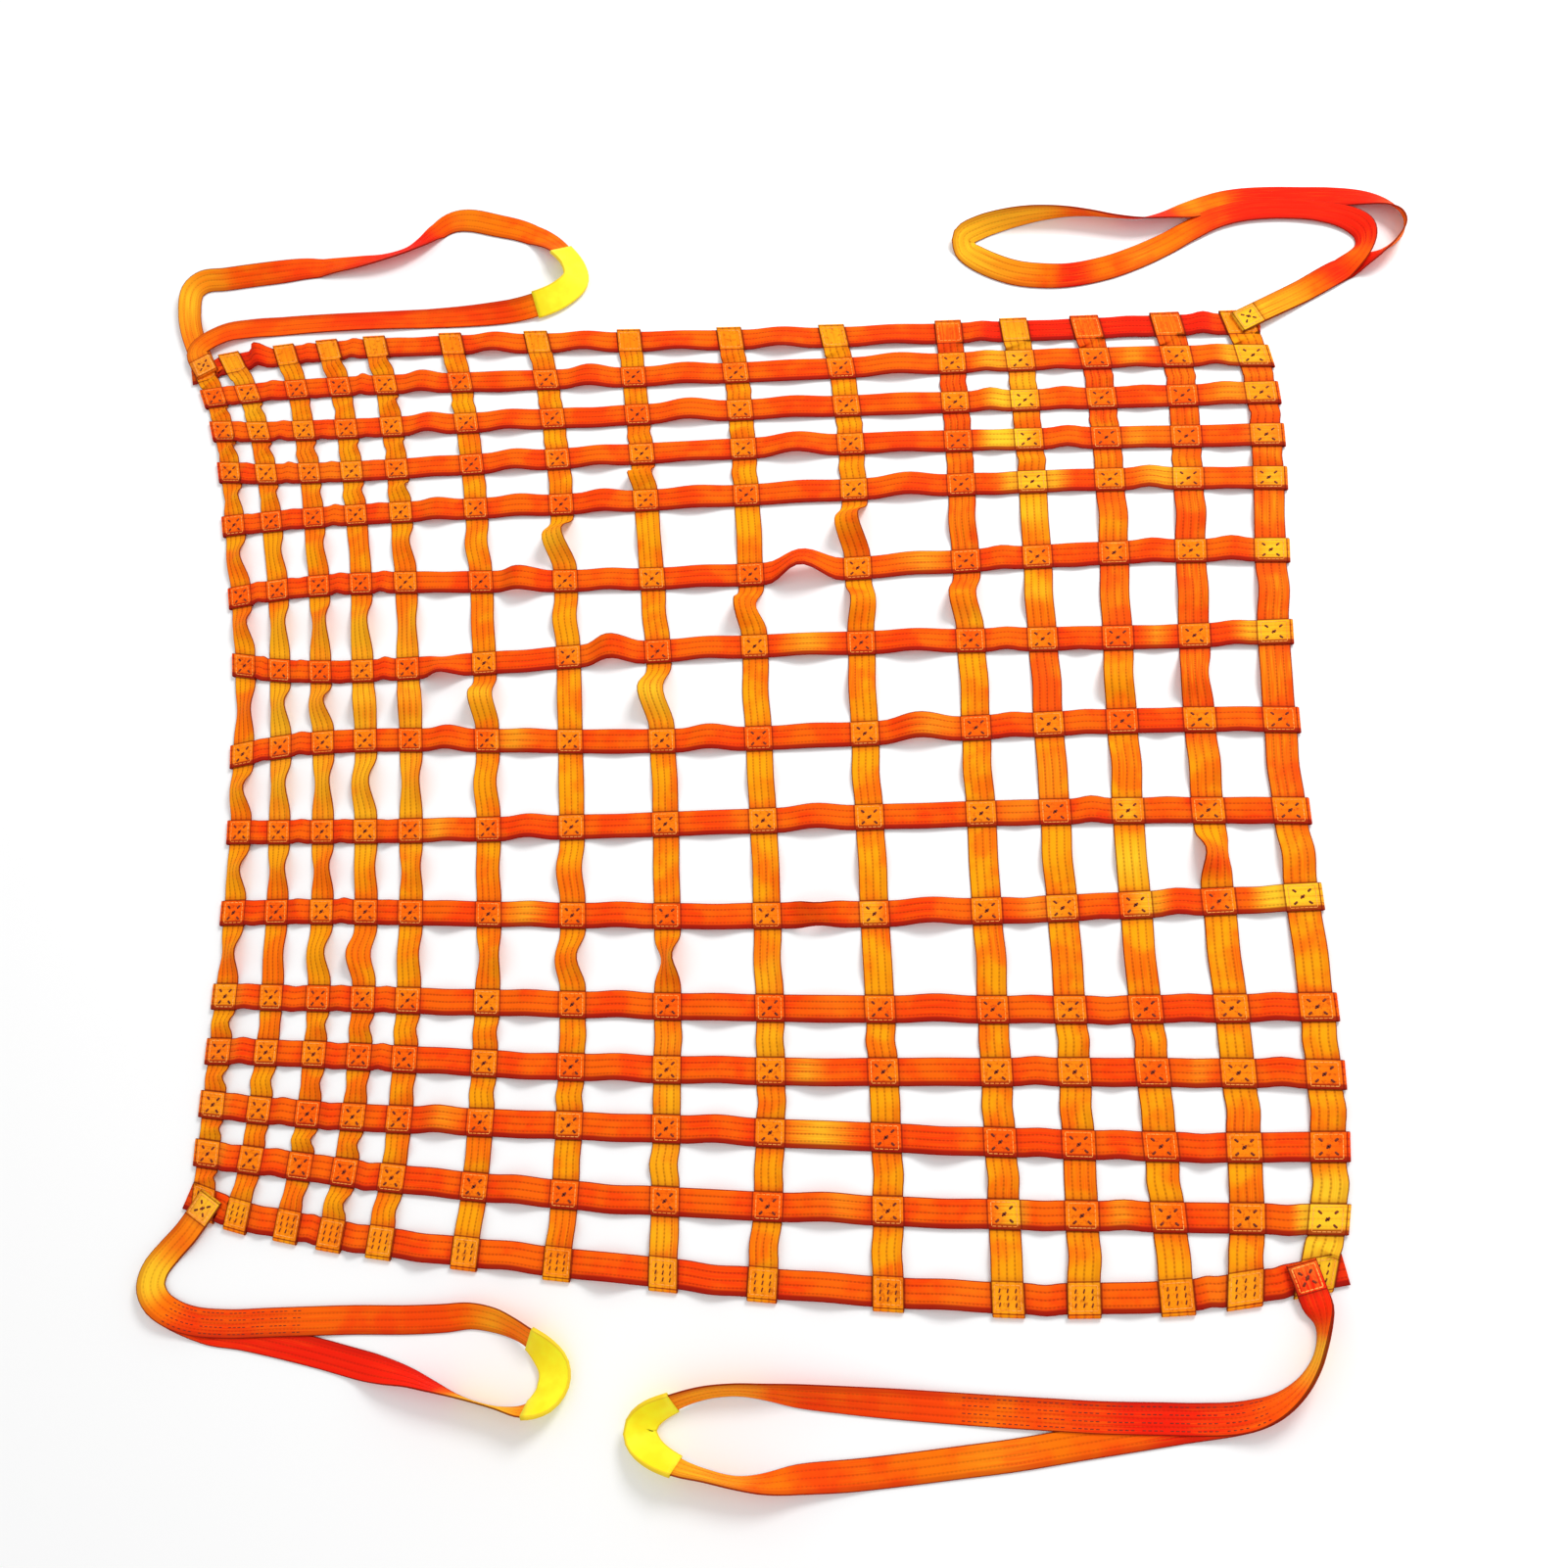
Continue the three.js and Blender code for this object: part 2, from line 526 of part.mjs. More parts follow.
// An open-ended flat sleeve round webbing
function sleeveGeometry(sections) {
  const width = SLING_WIDTH + 2 * SLEEVE_SIDE_ROOM;
  const thickness = THICKNESS + 2 * SLEEVE_ROOM;
  const points = sections.flatMap((s) => [
    ...corners(s, width + 2 * SLEEVE_WALL, thickness + 2 * SLEEVE_WALL),
    ...corners(s, width, thickness),
  ]);
  const triangles = [
    ...wallTriangles(sections.length, 0, 8, false),
    ...wallTriangles(sections.length, 4, 8, true),
  ];
  const end = points.length - 8;
  for (let e = 0; e < 4; e++) {
    const next = (e + 1) % 4;
    triangles.push([e, e + 4, next + 4], [e, next + 4, next]);
    triangles.push([end + e, end + next + 4, end + e + 4], [end + e, end + next, end + next + 4]);
  }
  return meshGeometry(points, triangles);
}

// All rows of a sling in order: out along the tail, round the eye, and back along the tail
function slingRows({ tail, eye, leaves }) {
  const out = tail.map((row) => ({ ...row, layer: leaves }));
  const round = eye.map((row) => ({ ...row, layer: 0 }));
  const back = tail.map((row) => ({ ...row, lean: -row.lean, layer: 1 - leaves })).reverse();
  return [...out, ...round, ...back];
}

// Smooth value of one column between row k and the next, by distance along the route
function smooth(rows, places, key, k, f) {
  const last = rows.length - 1;
  const slope = (m) => {
    const a = Math.max(m - 1, 0);
    const b = Math.min(m + 1, last);
    return (rows[b][key] - rows[a][key]) / (places[b] - places[a]);
  };
  const span = places[k + 1] - places[k];
  const f2 = f * f;
  const f3 = f2 * f;
  return (
    (2 * f3 - 3 * f2 + 1) * rows[k][key] +
    (f3 - 2 * f2 + f) * span * slope(k) +
    (3 * f2 - 2 * f3) * rows[k + 1][key] +
    (f3 - f2) * span * slope(k + 1)
  );
}

// A sling's sections between two of its rows
function slingSections(rows, first, last) {
  const places = [0];
  for (let k = 1; k < rows.length; k++) {
    places.push(places[k - 1] + Math.hypot(rows[k].x - rows[k - 1].x, rows[k].y - rows[k - 1].y));
  }
  const at = (key, t) => {
    const k = Math.min(Math.floor(t), rows.length - 2);
    return smooth(rows, places, key, k, t - k);
  };
  const stops = [first];
  for (let k = first; k < last; k++) {
    const steps = Math.max(2, Math.round((places[k + 1] - places[k]) / SLING_STEP));
    for (let m = 1; m <= steps; m++) stops.push(k + m / steps);
  }
  const nudge = 0.02;
  return stops.map((t) => {
    const t0 = Math.max(t - nudge, 0);
    const t1 = Math.min(t + nudge, rows.length - 1);
    const ahead = new THREE.Vector3(at("x", t1) - at("x", t0), at("y", t1) - at("y", t0), 0).normalize();
    const lean = THREE.MathUtils.degToRad(at("lean", t));
    const side = UP.clone().cross(ahead).applyAxisAngle(ahead, lean);
    const normal = UP.clone().applyAxisAngle(ahead, lean);
    const rise = (SLING_WIDTH / 2) * Math.abs(Math.sin(lean)) + (THICKNESS / 2) * Math.abs(Math.cos(lean));
    const middle = new THREE.Vector3(at("x", t), at("y", t), Math.max(at("lift", t), 0) + rise);
    return section(middle.addScaledVector(normal, PLY * Math.max(at("layer", t), 0)), side, normal);
  });
}

function piece(name, geometry, colour, roughness) {
  const material = new THREE.MeshStandardMaterial({ color: colour, roughness, metalness: 0 });
  const mesh = new THREE.Mesh(geometry, material);
  mesh.name = name;
  return mesh;
}

function strapName(run, strap) {
  const border = { lengthwise: ["border_left", "border_right"], crosswise: ["border_far", "border_near"] };
  if (strap === 0) return border[run][0];
  if (strap === LAST) return border[run][1];
  return `${run}_${String(strap).padStart(2, "0")}`;
}

const net = new THREE.Group();
for (const run of ["lengthwise", "crosswise"]) {
  for (let strap = 0; strap < STRAPS; strap++) {
    const geometry = webbingGeometry(strapSections(run, strap), strapWidth(run, strap));
    net.add(piece(strapName(run, strap), geometry, COLOURS[run], 0.7));
  }
}
for (const sling of SLINGS) {
  const rows = slingRows(sling);
  const geometry = webbingGeometry(slingSections(rows, 0, rows.length - 1), SLING_WIDTH);
  net.add(piece(sling.name, geometry, COLOURS.sling, 0.7));
}
for (const sleeve of SLEEVES) {
  const sling = SLINGS.find(({ name }) => name === sleeve.sling);
  const offset = sling.tail.length;
  const sections = slingSections(slingRows(sling), offset + sleeve.from, offset + sleeve.to);
  net.add(piece(sleeve.name, sleeveGeometry(sections), COLOURS.sleeve, 0.6));
}

export default net;
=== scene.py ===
import math

import bpy
import numpy as np
from mathutils import Matrix, Vector


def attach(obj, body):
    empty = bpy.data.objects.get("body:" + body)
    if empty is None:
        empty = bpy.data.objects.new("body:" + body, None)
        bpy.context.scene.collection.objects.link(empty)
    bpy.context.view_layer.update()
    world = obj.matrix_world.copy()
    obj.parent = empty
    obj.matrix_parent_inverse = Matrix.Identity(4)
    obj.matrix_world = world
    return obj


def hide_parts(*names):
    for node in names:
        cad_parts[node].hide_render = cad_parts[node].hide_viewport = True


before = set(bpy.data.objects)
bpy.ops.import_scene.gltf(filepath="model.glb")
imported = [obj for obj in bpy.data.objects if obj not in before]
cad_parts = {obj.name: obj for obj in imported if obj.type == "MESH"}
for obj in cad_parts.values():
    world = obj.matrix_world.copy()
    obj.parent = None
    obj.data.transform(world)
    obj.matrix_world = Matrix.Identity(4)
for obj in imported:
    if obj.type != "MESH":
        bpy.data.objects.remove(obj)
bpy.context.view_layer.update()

MM = 0.001

# Webbing
LEFT_WIDTH = 44.0
RIGHT_WIDTH = 58.0
CROSSWISE_WIDTH = 50.0
SLING_WIDTH = 50.0
THICKNESS = 3.0
CLEARANCE = 0.3
PLY = THICKNESS + CLEARANCE

# Section of the webbing: grooves and swells on top, the flat share of its half width, and rounded edges
GROOVE_DEPTH = 0.35
GROOVE_HALF = 1.3
SWELL = 0.05
FLAT_SHARE = 0.955
EDGE_INSET = 0.35
EDGE_HEIGHT = 0.95

# Half width of every strap on the scale that the materials use, and a place there that no look reaches
MATERIAL_HALF = 25.0
FAR_AWAY = 900.0

# Grid of straps in two runs: the outer cells are narrow and the inner ones wide
ALONG = "lengthwise"
ACROSS = "crosswise"
STRAPS = 15
LAST = STRAPS - 1
OUTER_CELLS = 4
NARROW_PITCH = 110.0
WIDE_PITCH = 175.0
PATCH_MARGIN = 2.0
PATCH_STEPS = (-1.0, -0.5, 0.0, 0.5, 1.0)
FOLD_ANGLES = (180, 165, 150, 135, 120, 105, 90, 75, 60, 45, 30, 15)
NARROW_FINE = 5
WIDE_FINE = 10

# Loose webbing between two crossings
FREE_SPAN = 40.0
NARROW_LIFT = 5.0
WIDE_LIFT = 12.0
LOOSE_SWAY = 3.0
LOOSE_TWIST = 7.0
TURNED_STRAPS = 5
TURN = -14.0
BORDER_TURN = -34.0
BORDER_FLAT_CELL = 10

# Steady ripple of the spans that no table names: its phase, and the pace of its sway and twist
PHASE_PER_STRAP = 2.4
PHASE_PER_CELL = 3.9
CROSSWISE_PHASE = 1.3
SWAY_PACE = 2.1
TWIST_PACE = 1.7

# Slings: height of a corner's straps, mm between sections, and the step in rows that gives a heading
CORNER_TOP = 3 * PLY
SLING_FINE = 9.0
HEADING_STEP = 0.02

# Sleeves, and the points and squareness of their outline
SLEEVE_WALL = 1.5
SLEEVE_ROOM = 0.9
SLEEVE_SIDE_ROOM = 2.5
SLEEVE_LIFT = 6.0
TUBE_POINTS = 28
TUBE_SPREAD = 3.0
TUBE_FLATNESS = 1.6

# Sewn box on a sling's root: its middle from the sling's end, its length, and how far its shade reaches
ROOT_AT = 26.0
ROOT_BOX = 44.0
ROOT_REACH = 45.0

# Camera, from the fit to the photo's crossings: its place in m, and how it turns left, tilts up from
# straight down, and rolls, in degrees
CAMERA_AT = (0.5333, -1.0430, 2.7800)
CAMERA_TURN = 24.8
CAMERA_TILT = 21.0
CAMERA_ROLL = -25.0
SENSOR = 36.0
FOCAL_PIXELS = 1600.0
FRAME_PIXELS = 1601.0

# Studio, in m
FLOOR_SIZE = 16.0
FLOOR_DROP = 0.0006
FLOOR_GREY = 0.96
FLOOR_ROUGH = 0.9
FLOOR_SPECULAR = 0.1
WORLD_LIGHT = 0.78
KEY_AT = (2.6, 3.2, 4.2)
KEY_SIZE = 2.2
KEY_WATTS = 200.0

# Lengthwise straps, left to right: x at five places from the far edge to the near edge
LENGTHWISE = (
    (-1246, -1117, -1022, -987, -974),
    (-1180, -1035, -945, -895, -904),
    (-1055, -940, -855, -800, -805),
    (-955, -845, -765, -710, -720),
    (-845, -745, -670, -620, -625),
    (-670, -580, -510, -465, -465),
    (-475, -395, -340, -300, -295),
    (-270, -215, -155, -120, -105),
    (-50, -5, 35, 70, 70),
    (170, 215, 240, 270, 285),
    (410, 430, 450, 470, 485),
    (545, 570, 585, 605, 610),
    (690, 720, 720, 735, 760),
    (850, 870, 860, 880, 870),
    (990, 1020, 1002, 1022, 985),
)

# Crosswise straps, far to near: y at five places from the left edge to the right edge
CROSSWISE = (
    (938, 968, 936, 900, 874),
    (868, 872, 848, 828, 796),
    (780, 765, 755, 735, 710),
    (675, 660, 660, 645, 615),
    (545, 555, 550, 545, 520),
    (375, 390, 370, 375, 365),
    (215, 195, 210, 205, 195),
    (20, 40, 20, 25, 20),
    (-145, -150, -150, -145, -155),
    (-310, -315, -330, -330, -315),
    (-475, -485, -500, -510, -510),
    (-580, -595, -615, -620, -625),
    (-680, -705, -720, -740, -745),
    (-770, -810, -845, -860, -862),
    (-855, -920, -965, -995, -949),
)

# Spans that stand out as slack: run, strap, cell, then sway and lift in mm and twist in degrees
SLACK = (
    (ALONG, 1, 5, -7, 12, -26),
    (ALONG, 1, 6, -4, 12, -30),
    (ALONG, 1, 7, -5, 10, -28),
    (ALONG, 1, 8, -6, 8, -26),
    (ALONG, 2, 5, -10, 16, -32),
    (ALONG, 2, 6, 2, 14, -28),
    (ALONG, 2, 7, -8, 12, -30),
    (ALONG, 2, 8, -6, 8, -28),
    (ALONG, 3, 5, -4, 16, -24),
    (ALONG, 3, 6, -10, 18, 18),
    (ALONG, 3, 7, 3, 14, -22),
    (ALONG, 3, 9, 6, 10, 24),
    (ALONG, 4, 6, -10, 16, 26),
    (ALONG, 4, 7, -7, 12, -24),
    (ALONG, 4, 8, -6, 8, -20),
    (ALONG, 5, 6, 0, 34, 18),
    (ALONG, 5, 9, -8, 10, -24),
    (ALONG, 6, 4, 12, 40, -20),
    (ALONG, 6, 9, 9, 10, -20),
    (ALONG, 7, 3, 4, 24, 10),
    (ALONG, 7, 6, 11, 38, 16),
    (ALONG, 7, 9, -4, 6, -56),
    (ALONG, 8, 5, 10, 22, 40),
    (ALONG, 9, 4, 14, 44, -22),
    (ALONG, 9, 5, -10, 18, 24),
    (ALONG, 10, 5, 10, 32, 12),
    (ALONG, 12, 6, 4, 26, 10),
    (ALONG, 13, 6, 6, 18, 22),
    (ALONG, 13, 8, -4, 10, 42),
    (ACROSS, 0, 1, 0, 6, 40),
    (ACROSS, 5, 5, -6, 26, 16),
    (ACROSS, 5, 8, 12, 32, -26),
    (ACROSS, 6, 4, -6, 12, -30),
    (ACROSS, 6, 6, 6, 20, 20),
    (ACROSS, 7, 9, 4, 18, 14),
    (ACROSS, 9, 8, -6, 14, 46),
)

# Slings from the corner out along the tail, round the eye and back along the tail as a second ply.
# Rows are x, y, lean in degrees, lift of the lower edge, and tone from -1, red, to 1, yellow. The tone is
# partly uneven dye and partly painted shade: red where a face lies in shade.
# "leaves" is 1 where the ply that leaves the corner lies on the one that returns.
SLINGS = (
    {
        "name": "sling_far_left",
        "leaves": 0,
        "tail": (
            (-1233, 926, 0, CORNER_TOP, 0.2),
            (-1266, 990, 0, CORNER_TOP, 0.3),
        ),
        "eye": (
            (-1292, 1048, 6, 6, 0.4),
            (-1305, 1098, 18, 0, 0.6),
            (-1304, 1151, 28, 0, 0.6),
            (-1277, 1173, 36, 0, 0.4),
            (-1225, 1174, 40, 0, 0.3),
            (-1164, 1178, 40, 0, -0.2),
            (-1092, 1184, 32, 0, -0.5),
            (-1035, 1193, 12, 0, -0.5),
            (-975, 1195, -10, 0, -0.5),
            (-914, 1196, -22, 0, -0.6),
            (-853, 1199, -36, 0, -0.9),
            (-796, 1214, -38, 0, -1.1),
            (-762, 1238, -24, 0, -1.1),
            (-732, 1270, 0, 0, -0.3),
            (-698, 1286, 12, 0, 0.2),
            (-656, 1284, 20, 0, 0.2),
            (-596, 1266, 18, 0, 0.1),
            (-526, 1244, 6, 0, 0.0),
            (-476, 1216, -14, 0, 0.0),
            (-436, 1177, -32, SLEEVE_LIFT, 0.2),
            (-404, 1133, -38, SLEEVE_LIFT, 0.2),
            (-396, 1092, -38, SLEEVE_LIFT, 0.2),
            (-430, 1057, -38, SLEEVE_LIFT, 0.2),
            (-482, 1036, -38, SLEEVE_LIFT, 0.2),
            (-548, 1030, -30, 0, -0.5),
            (-636, 1032, -12, 0, -0.5),
            (-740, 1037, 0, 0, -0.5),
            (-858, 1041, 6, 0, -0.6),
            (-975, 1045, 4, 0, -0.5),
            (-1080, 1046, 0, 0, -0.4),
            (-1150, 1043, 0, 5, -0.3),
            (-1212, 1028, 0, 14, -0.3),
        ),
    },
    {
        "name": "sling_far_right",
        "leaves": 0,
        "tail": (
            (984, 871, 0, CORNER_TOP, 1.0),
            (1040, 898, 0, CORNER_TOP, 0.6),
            (1120, 941, 6, 0, 0.3),
            (1184, 977, 8, 0, -0.7),
        ),
        "eye": (
            (1224, 996, -10, 0, -1.0),
            (1261, 1006, -46, 0, -0.8),
            (1297, 1026, -74, 0, 0.2),
            (1321, 1058, -90, 0, 0.2),
            (1321, 1093, -112, 0, 0.1),
            (1298, 1125, -136, 0, -0.5),
            (1254, 1149, -160, 0, -1.0),
            (1194, 1163, -176, 0, -1.0),
            (1127, 1171, -180, 0, -1.0),
            (1060, 1178, -180, 0, -1.0),
            (1003, 1179, -180, 0, -0.7),
            (954, 1171, -180, 0, 0.1),
            (908, 1157, -168, 0, 0.2),
            (860, 1142, -142, 0, -0.8),
            (811, 1136, -127, 0, -0.9),
            (762, 1144, -122, 0, -0.4),
            (712, 1156, -115, 0, 0.0),
            (664, 1164, -106, 0, 0.2),
            (612, 1166, -92, 0, 0.4),
            (566, 1163, -78, 0, 0.5),
            (520, 1156, -64, 0, 0.6),
            (478, 1146, -48, 0, 0.7),
            (444, 1130, -26, 0, 0.8),
            (452, 1098, 6, 0, 0.8),
            (492, 1060, 26, 0, 0.6),
            (547, 1031, 30, 0, 0.4),
            (600, 1019, 28, 0, 0.2),
            (662, 1017, 20, 0, -0.8),
            (737, 1029, 18, 0, -0.1),
            (800, 1051, 14, 0, 0.3),
            (856, 1078, 8, 0, 0.1),
            (906, 1106, 2, 3, -0.2),
            (962, 1132, 0, 5, -0.6),
            (1024, 1144, 0, 5, -0.9),
            (1104, 1141, 0, 5, -1.0),
            (1176, 1125, 0, 5, -1.0),
            (1220, 1102, 14, 4, -1.0),
            (1245, 1070, 36, 2, -1.0),
            (1246, 1036, 44, 2, -0.8),
            (1226, 1006, 26, 5, -0.3),
        ),
    },
    {
        "name": "sling_near_left",
        "leaves": 1,
        "tail": (
            (-956, -846, 0, CORNER_TOP, 0.9),
            (-994, -908, 0, CORNER_TOP, 0.1),
            (-1030, -946, -4, 0, 0.2),
            (-1050, -978, -12, 0, 0.7),
            (-1051, -1010, -18, 0, 0.6),
            (-1026, -1040, -18, 0, 0.0),
        ),
        "eye": (
            (-972, -1061, -5, PLY, -0.5),
            (-900, -1066, 0, PLY, -0.6),
            (-822, -1062, 0, PLY, -0.5),
            (-745, -1058, 0, PLY, -0.4),
            (-658, -1054, 6, 0, -0.4),
            (-564, -1052, 10, 0, -0.4),
            (-494, -1048, 16, 0, -0.3),
            (-444, -1043, 28, 0, 0.2),
            (-400, -1049, 34, 0, 0.5),
            (-364, -1061, 44, 0, 0.3),
            (-331, -1077, 46, SLEEVE_LIFT, 0.4),
            (-305, -1098, 28, SLEEVE_LIFT, 0.4),
            (-288, -1122, 10, SLEEVE_LIFT, 0.4),
            (-286, -1149, 10, SLEEVE_LIFT, 0.4),
            (-299, -1175, 34, SLEEVE_LIFT, 0.4),
            (-330, -1192, 66, SLEEVE_LIFT, 0.4),
            (-376, -1190, 90, 0, 0.9),
            (-420, -1182, 95, 0, 0.9),
            (-460, -1172, 90, 0, 0.5),
            (-499, -1160, 76, 0, -1.0),
            (-542, -1147, 58, 0, -1.1),
            (-592, -1137, 32, 0, -1.1),
            (-646, -1127, 6, 0, -1.1),
            (-716, -1112, 0, 0, -1.0),
            (-794, -1097, 0, 0, -0.9),
            (-866, -1085, 0, 0, -0.8),
            (-938, -1076, 0, 0, -0.7),
        ),
    },
    {
        "name": "sling_near_right",
        "leaves": 1,
        "tail": (
            (960, -930, 0, CORNER_TOP, -0.5),
            (976, -984, 4, CORNER_TOP, -0.8),
            (987, -1022, 66, 1, -0.5),
            (983, -1056, 82, 0, 0.7),
            (968, -1092, 80, 0, 0.6),
            (941, -1126, 68, 0, 0.2),
            (903, -1153, 48, 0, -0.2),
            (855, -1169, 20, 0, -0.6),
        ),
        "eye": (
            (792, -1174, 2, PLY, -0.8),
            (724, -1175, 0, PLY, -1.0),
            (633, -1176, 0, PLY, -0.7),
            (550, -1174, 0, PLY, -0.5),
            (475, -1172, -2, 2, -0.3),
            (390, -1169, -6, 0, -0.4),
            (296, -1165, -14, 0, -0.5),
            (210, -1161, -28, 0, -0.5),
            (136, -1157, -40, 0, -0.5),
            (79, -1152, -58, 0, 0.3),
            (31, -1150, -66, 0, 0.5),
            (-22, -1156, -66, 0, 0.5),
            (-73, -1172, -60, SLEEVE_LIFT, 0.5),
            (-115, -1194, -44, SLEEVE_LIFT, 0.5),
            (-130, -1221, -22, SLEEVE_LIFT, 0.5),
            (-109, -1249, -46, SLEEVE_LIFT, 0.5),
            (-64, -1271, -62, SLEEVE_LIFT, 0.5),
            (-12, -1284, -74, 0, 0.5),
            (36, -1292, -72, 0, 0.4),
            (83, -1292, -54, 0, 0.1),
            (142, -1284, -24, 0, -0.3),
            (227, -1276, -4, 0, -0.4),
            (321, -1263, 2, 0, -0.2),
            (406, -1250, 2, 0, 0.2),
            (490, -1237, 0, 0, 0.3),
            (590, -1218, 0, 0, -0.1),
            (682, -1201, 0, 0, -0.4),
            (757, -1187, 0, 0, -0.8),
        ),
    },
)

# Sleeves: name, the sling that carries one, and the eye rows between which it reaches
SLEEVES = (
    ("sleeve_far_left", "sling_far_left", 19, 23),
    ("sleeve_near_left", "sling_near_left", 10, 15),
    ("sleeve_near_right", "sling_near_right", 12, 16),
)

# Tones, partly uneven dye and partly painted light that turns loose spans yellow where they rise toward the
# light: run, strap, the strip in strap numbers along it, and tone from -1, red, to 1, yellow
DYE_AND_LIGHT_TONES = (
    (ACROSS, 0, 0.5, 1.9, -0.7),
    (ACROSS, 0, 10.3, 13.9, -0.9),
    (ACROSS, 1, 10.2, 11.3, 0.6),
    (ACROSS, 1, 12.2, 12.7, 0.6),
    (ACROSS, 1, 13.4, 14.4, 0.7),
    (ACROSS, 2, 10.3, 11.3, 0.8),
    (ACROSS, 2, 13.2, 14.4, 0.4),
    (ACROSS, 3, 10.2, 11.2, 1.0),
    (ACROSS, 3, 12.1, 12.6, 0.5),
    (ACROSS, 3, 13.6, 14.4, 0.5),
    (ACROSS, 4, 10.4, 11.6, 0.7),
    (ACROSS, 4, 12.2, 13.2, 0.5),
    (ACROSS, 4, 13.7, 14.4, 0.6),
    (ACROSS, 5, 9.3, 9.9, 0.6),
    (ACROSS, 5, 11.8, 12.2, 0.6),
    (ACROSS, 5, 13.7, 14.4, 0.9),
    (ACROSS, 6, 8.2, 8.8, 0.6),
    (ACROSS, 6, 12.2, 12.8, 0.5),
    (ACROSS, 6, 13.4, 14.4, 0.7),
    (ACROSS, 7, 5.0, 5.7, 0.55),
    (ACROSS, 7, 9.3, 9.9, 0.5),
    (ACROSS, 8, 4.0, 4.7, 0.5),
    (ACROSS, 8, 11.7, 12.3, 0.7),
    (ACROSS, 9, 5.1, 5.8, 0.55),
    (ACROSS, 9, 8.7, 9.2, 1.0),
    (ACROSS, 9, 10.3, 11.2, 0.4),
    (ACROSS, 9, 11.8, 12.5, 0.8),
    (ACROSS, 9, 12.7, 13.2, -0.6),
    (ACROSS, 9, 13.3, 14.4, 1.0),
    (ACROSS, 10, -1.0, 0.6, 0.35),
    (ACROSS, 10, 8.3, 8.8, 0.3),
    (ACROSS, 11, -1.0, 0.6, 0.3),
    (ACROSS, 11, 8.1, 8.6, 0.75),
    (ACROSS, 11, 12.3, 12.8, 0.6),
    (ACROSS, 12, -1.0, 0.6, 0.35),
    (ACROSS, 12, 4.2, 4.9, 0.4),
    (ACROSS, 12, 8.1, 8.8, 0.75),
    (ACROSS, 12, 12.3, 12.7, -0.4),
    (ACROSS, 13, -1.0, 0.6, 0.35),
    (ACROSS, 13, 8.3, 8.9, 0.4),
    (ACROSS, 13, 9.8, 10.4, 0.9),
    (ACROSS, 13, 11.2, 11.7, 0.7),
    (ACROSS, 13, 13.5, 14.4, 1.2),
    (ACROSS, 14, 11.9, 12.5, -0.5),
    (ACROSS, 14, 13.5, 14.4, -0.8),
    (ALONG, 1, -0.4, 2.0, 0.4),
    (ALONG, 1, 5.2, 8.5, 0.4),
    (ALONG, 2, 5.2, 8.5, 0.4),
    (ALONG, 3, 5.2, 8.5, 0.5),
    (ALONG, 4, 5.2, 8.5, 0.4),
    (ALONG, 5, 6.2, 6.8, 0.7),
    (ALONG, 6, 4.2, 4.9, 0.6),
    (ALONG, 7, 6.2, 6.9, 0.8),
    (ALONG, 7, 10.2, 14.4, 0.3),
    (ALONG, 8, 9.2, 11.2, 0.3),
    (ALONG, 8, 11.2, 11.8, -0.4),
    (ALONG, 9, 4.2, 5.2, -0.3),
    (ALONG, 10, -0.4, 3.4, -0.6),
    (ALONG, 10, 3.2, 5.6, -0.5),
    (ALONG, 10, 5.5, 5.9, 0.6),
    (ALONG, 11, -0.4, 2.2, 0.4),
    (ALONG, 11, 4.1, 4.7, 0.6),
    (ALONG, 11, 5.2, 5.7, 0.6),
    (ALONG, 11, 2.0, 4.2, -0.3),
    (ALONG, 11, 5.6, 7.4, -0.5),
    (ALONG, 12, -0.8, 3.0, -0.6),
    (ALONG, 12, 2.8, 4.6, -0.5),
    (ALONG, 12, 4.4, 6.4, -0.5),
    (ALONG, 12, 6.2, 6.7, -0.5),
    (ALONG, 12, 8.2, 8.9, 0.8),
    (ALONG, 13, -0.8, 7.6, -0.55),
    (ALONG, 13, 8.3, 8.9, -0.7),
    (ALONG, 14, 0.6, 8.4, -0.5),
    (ALONG, 14, 12.2, 14.4, 0.9),
)
DYE_EDGE = 0.34
PATCH_SHARE = 0.2


def strap_width(run, strap):
    if run == ACROSS:
        return CROSSWISE_WIDTH
    return LEFT_WIDTH + (RIGHT_WIDTH - LEFT_WIDTH) * strap / LAST


# Tone of a strap's dye and painted light at a place given in strap numbers along it
def dye_and_light_at(run, strap, place):
    tone = 0.0
    for row_run, row_strap, low, high, amount in DYE_AND_LIGHT_TONES:
        if (row_run, row_strap) == (run, strap):
            rise = min((place - low) / DYE_EDGE, (high - place) / DYE_EDGE, 1.0)
            tone += amount * max(rise, 0.0)
    return tone


def is_narrow(cell):
    return cell < OUTER_CELLS or cell >= LAST - OUTER_CELLS


# Even place of each strap across the net, the parameter of the tables above
def even_places():
    places = [0.0]
    for cell in range(LAST):
        places.append(places[cell] + (NARROW_PITCH if is_narrow(cell) else WIDE_PITCH))
    return [place - places[LAST] / 2 for place in places]


EVEN = even_places()
KNOTS = [EVEN[k] for k in (0, OUTER_CELLS, LAST // 2, LAST - OUTER_CELLS, LAST)]


# Value at a place from a table row's five values, by the one smooth curve through them
def value_at(row, place):
    total = 0.0
    for k, value in enumerate(row):
        weight = 1.0
        for m, knot in enumerate(KNOTS):
            if m != k:
                weight *= (place - knot) / (KNOTS[k] - knot)
        total += value * weight
    return total


def crossing(column, row):
    return np.array([value_at(LENGTHWISE[column], EVEN[row]), value_at(CROSSWISE[row], EVEN[column]), 0.0])


def unit(vector):
    return vector / np.linalg.norm(vector)


# Unit direction of a strap at a crossing: lengthwise straps run away, crosswise ones to the right
def heading(run, column, row):
    if run == ALONG:
        return unit(crossing(column, max(row - 1, 0)) - crossing(column, min(row + 1, LAST)))
    return unit(crossing(min(column + 1, LAST), row) - crossing(max(column - 1, 0), row))


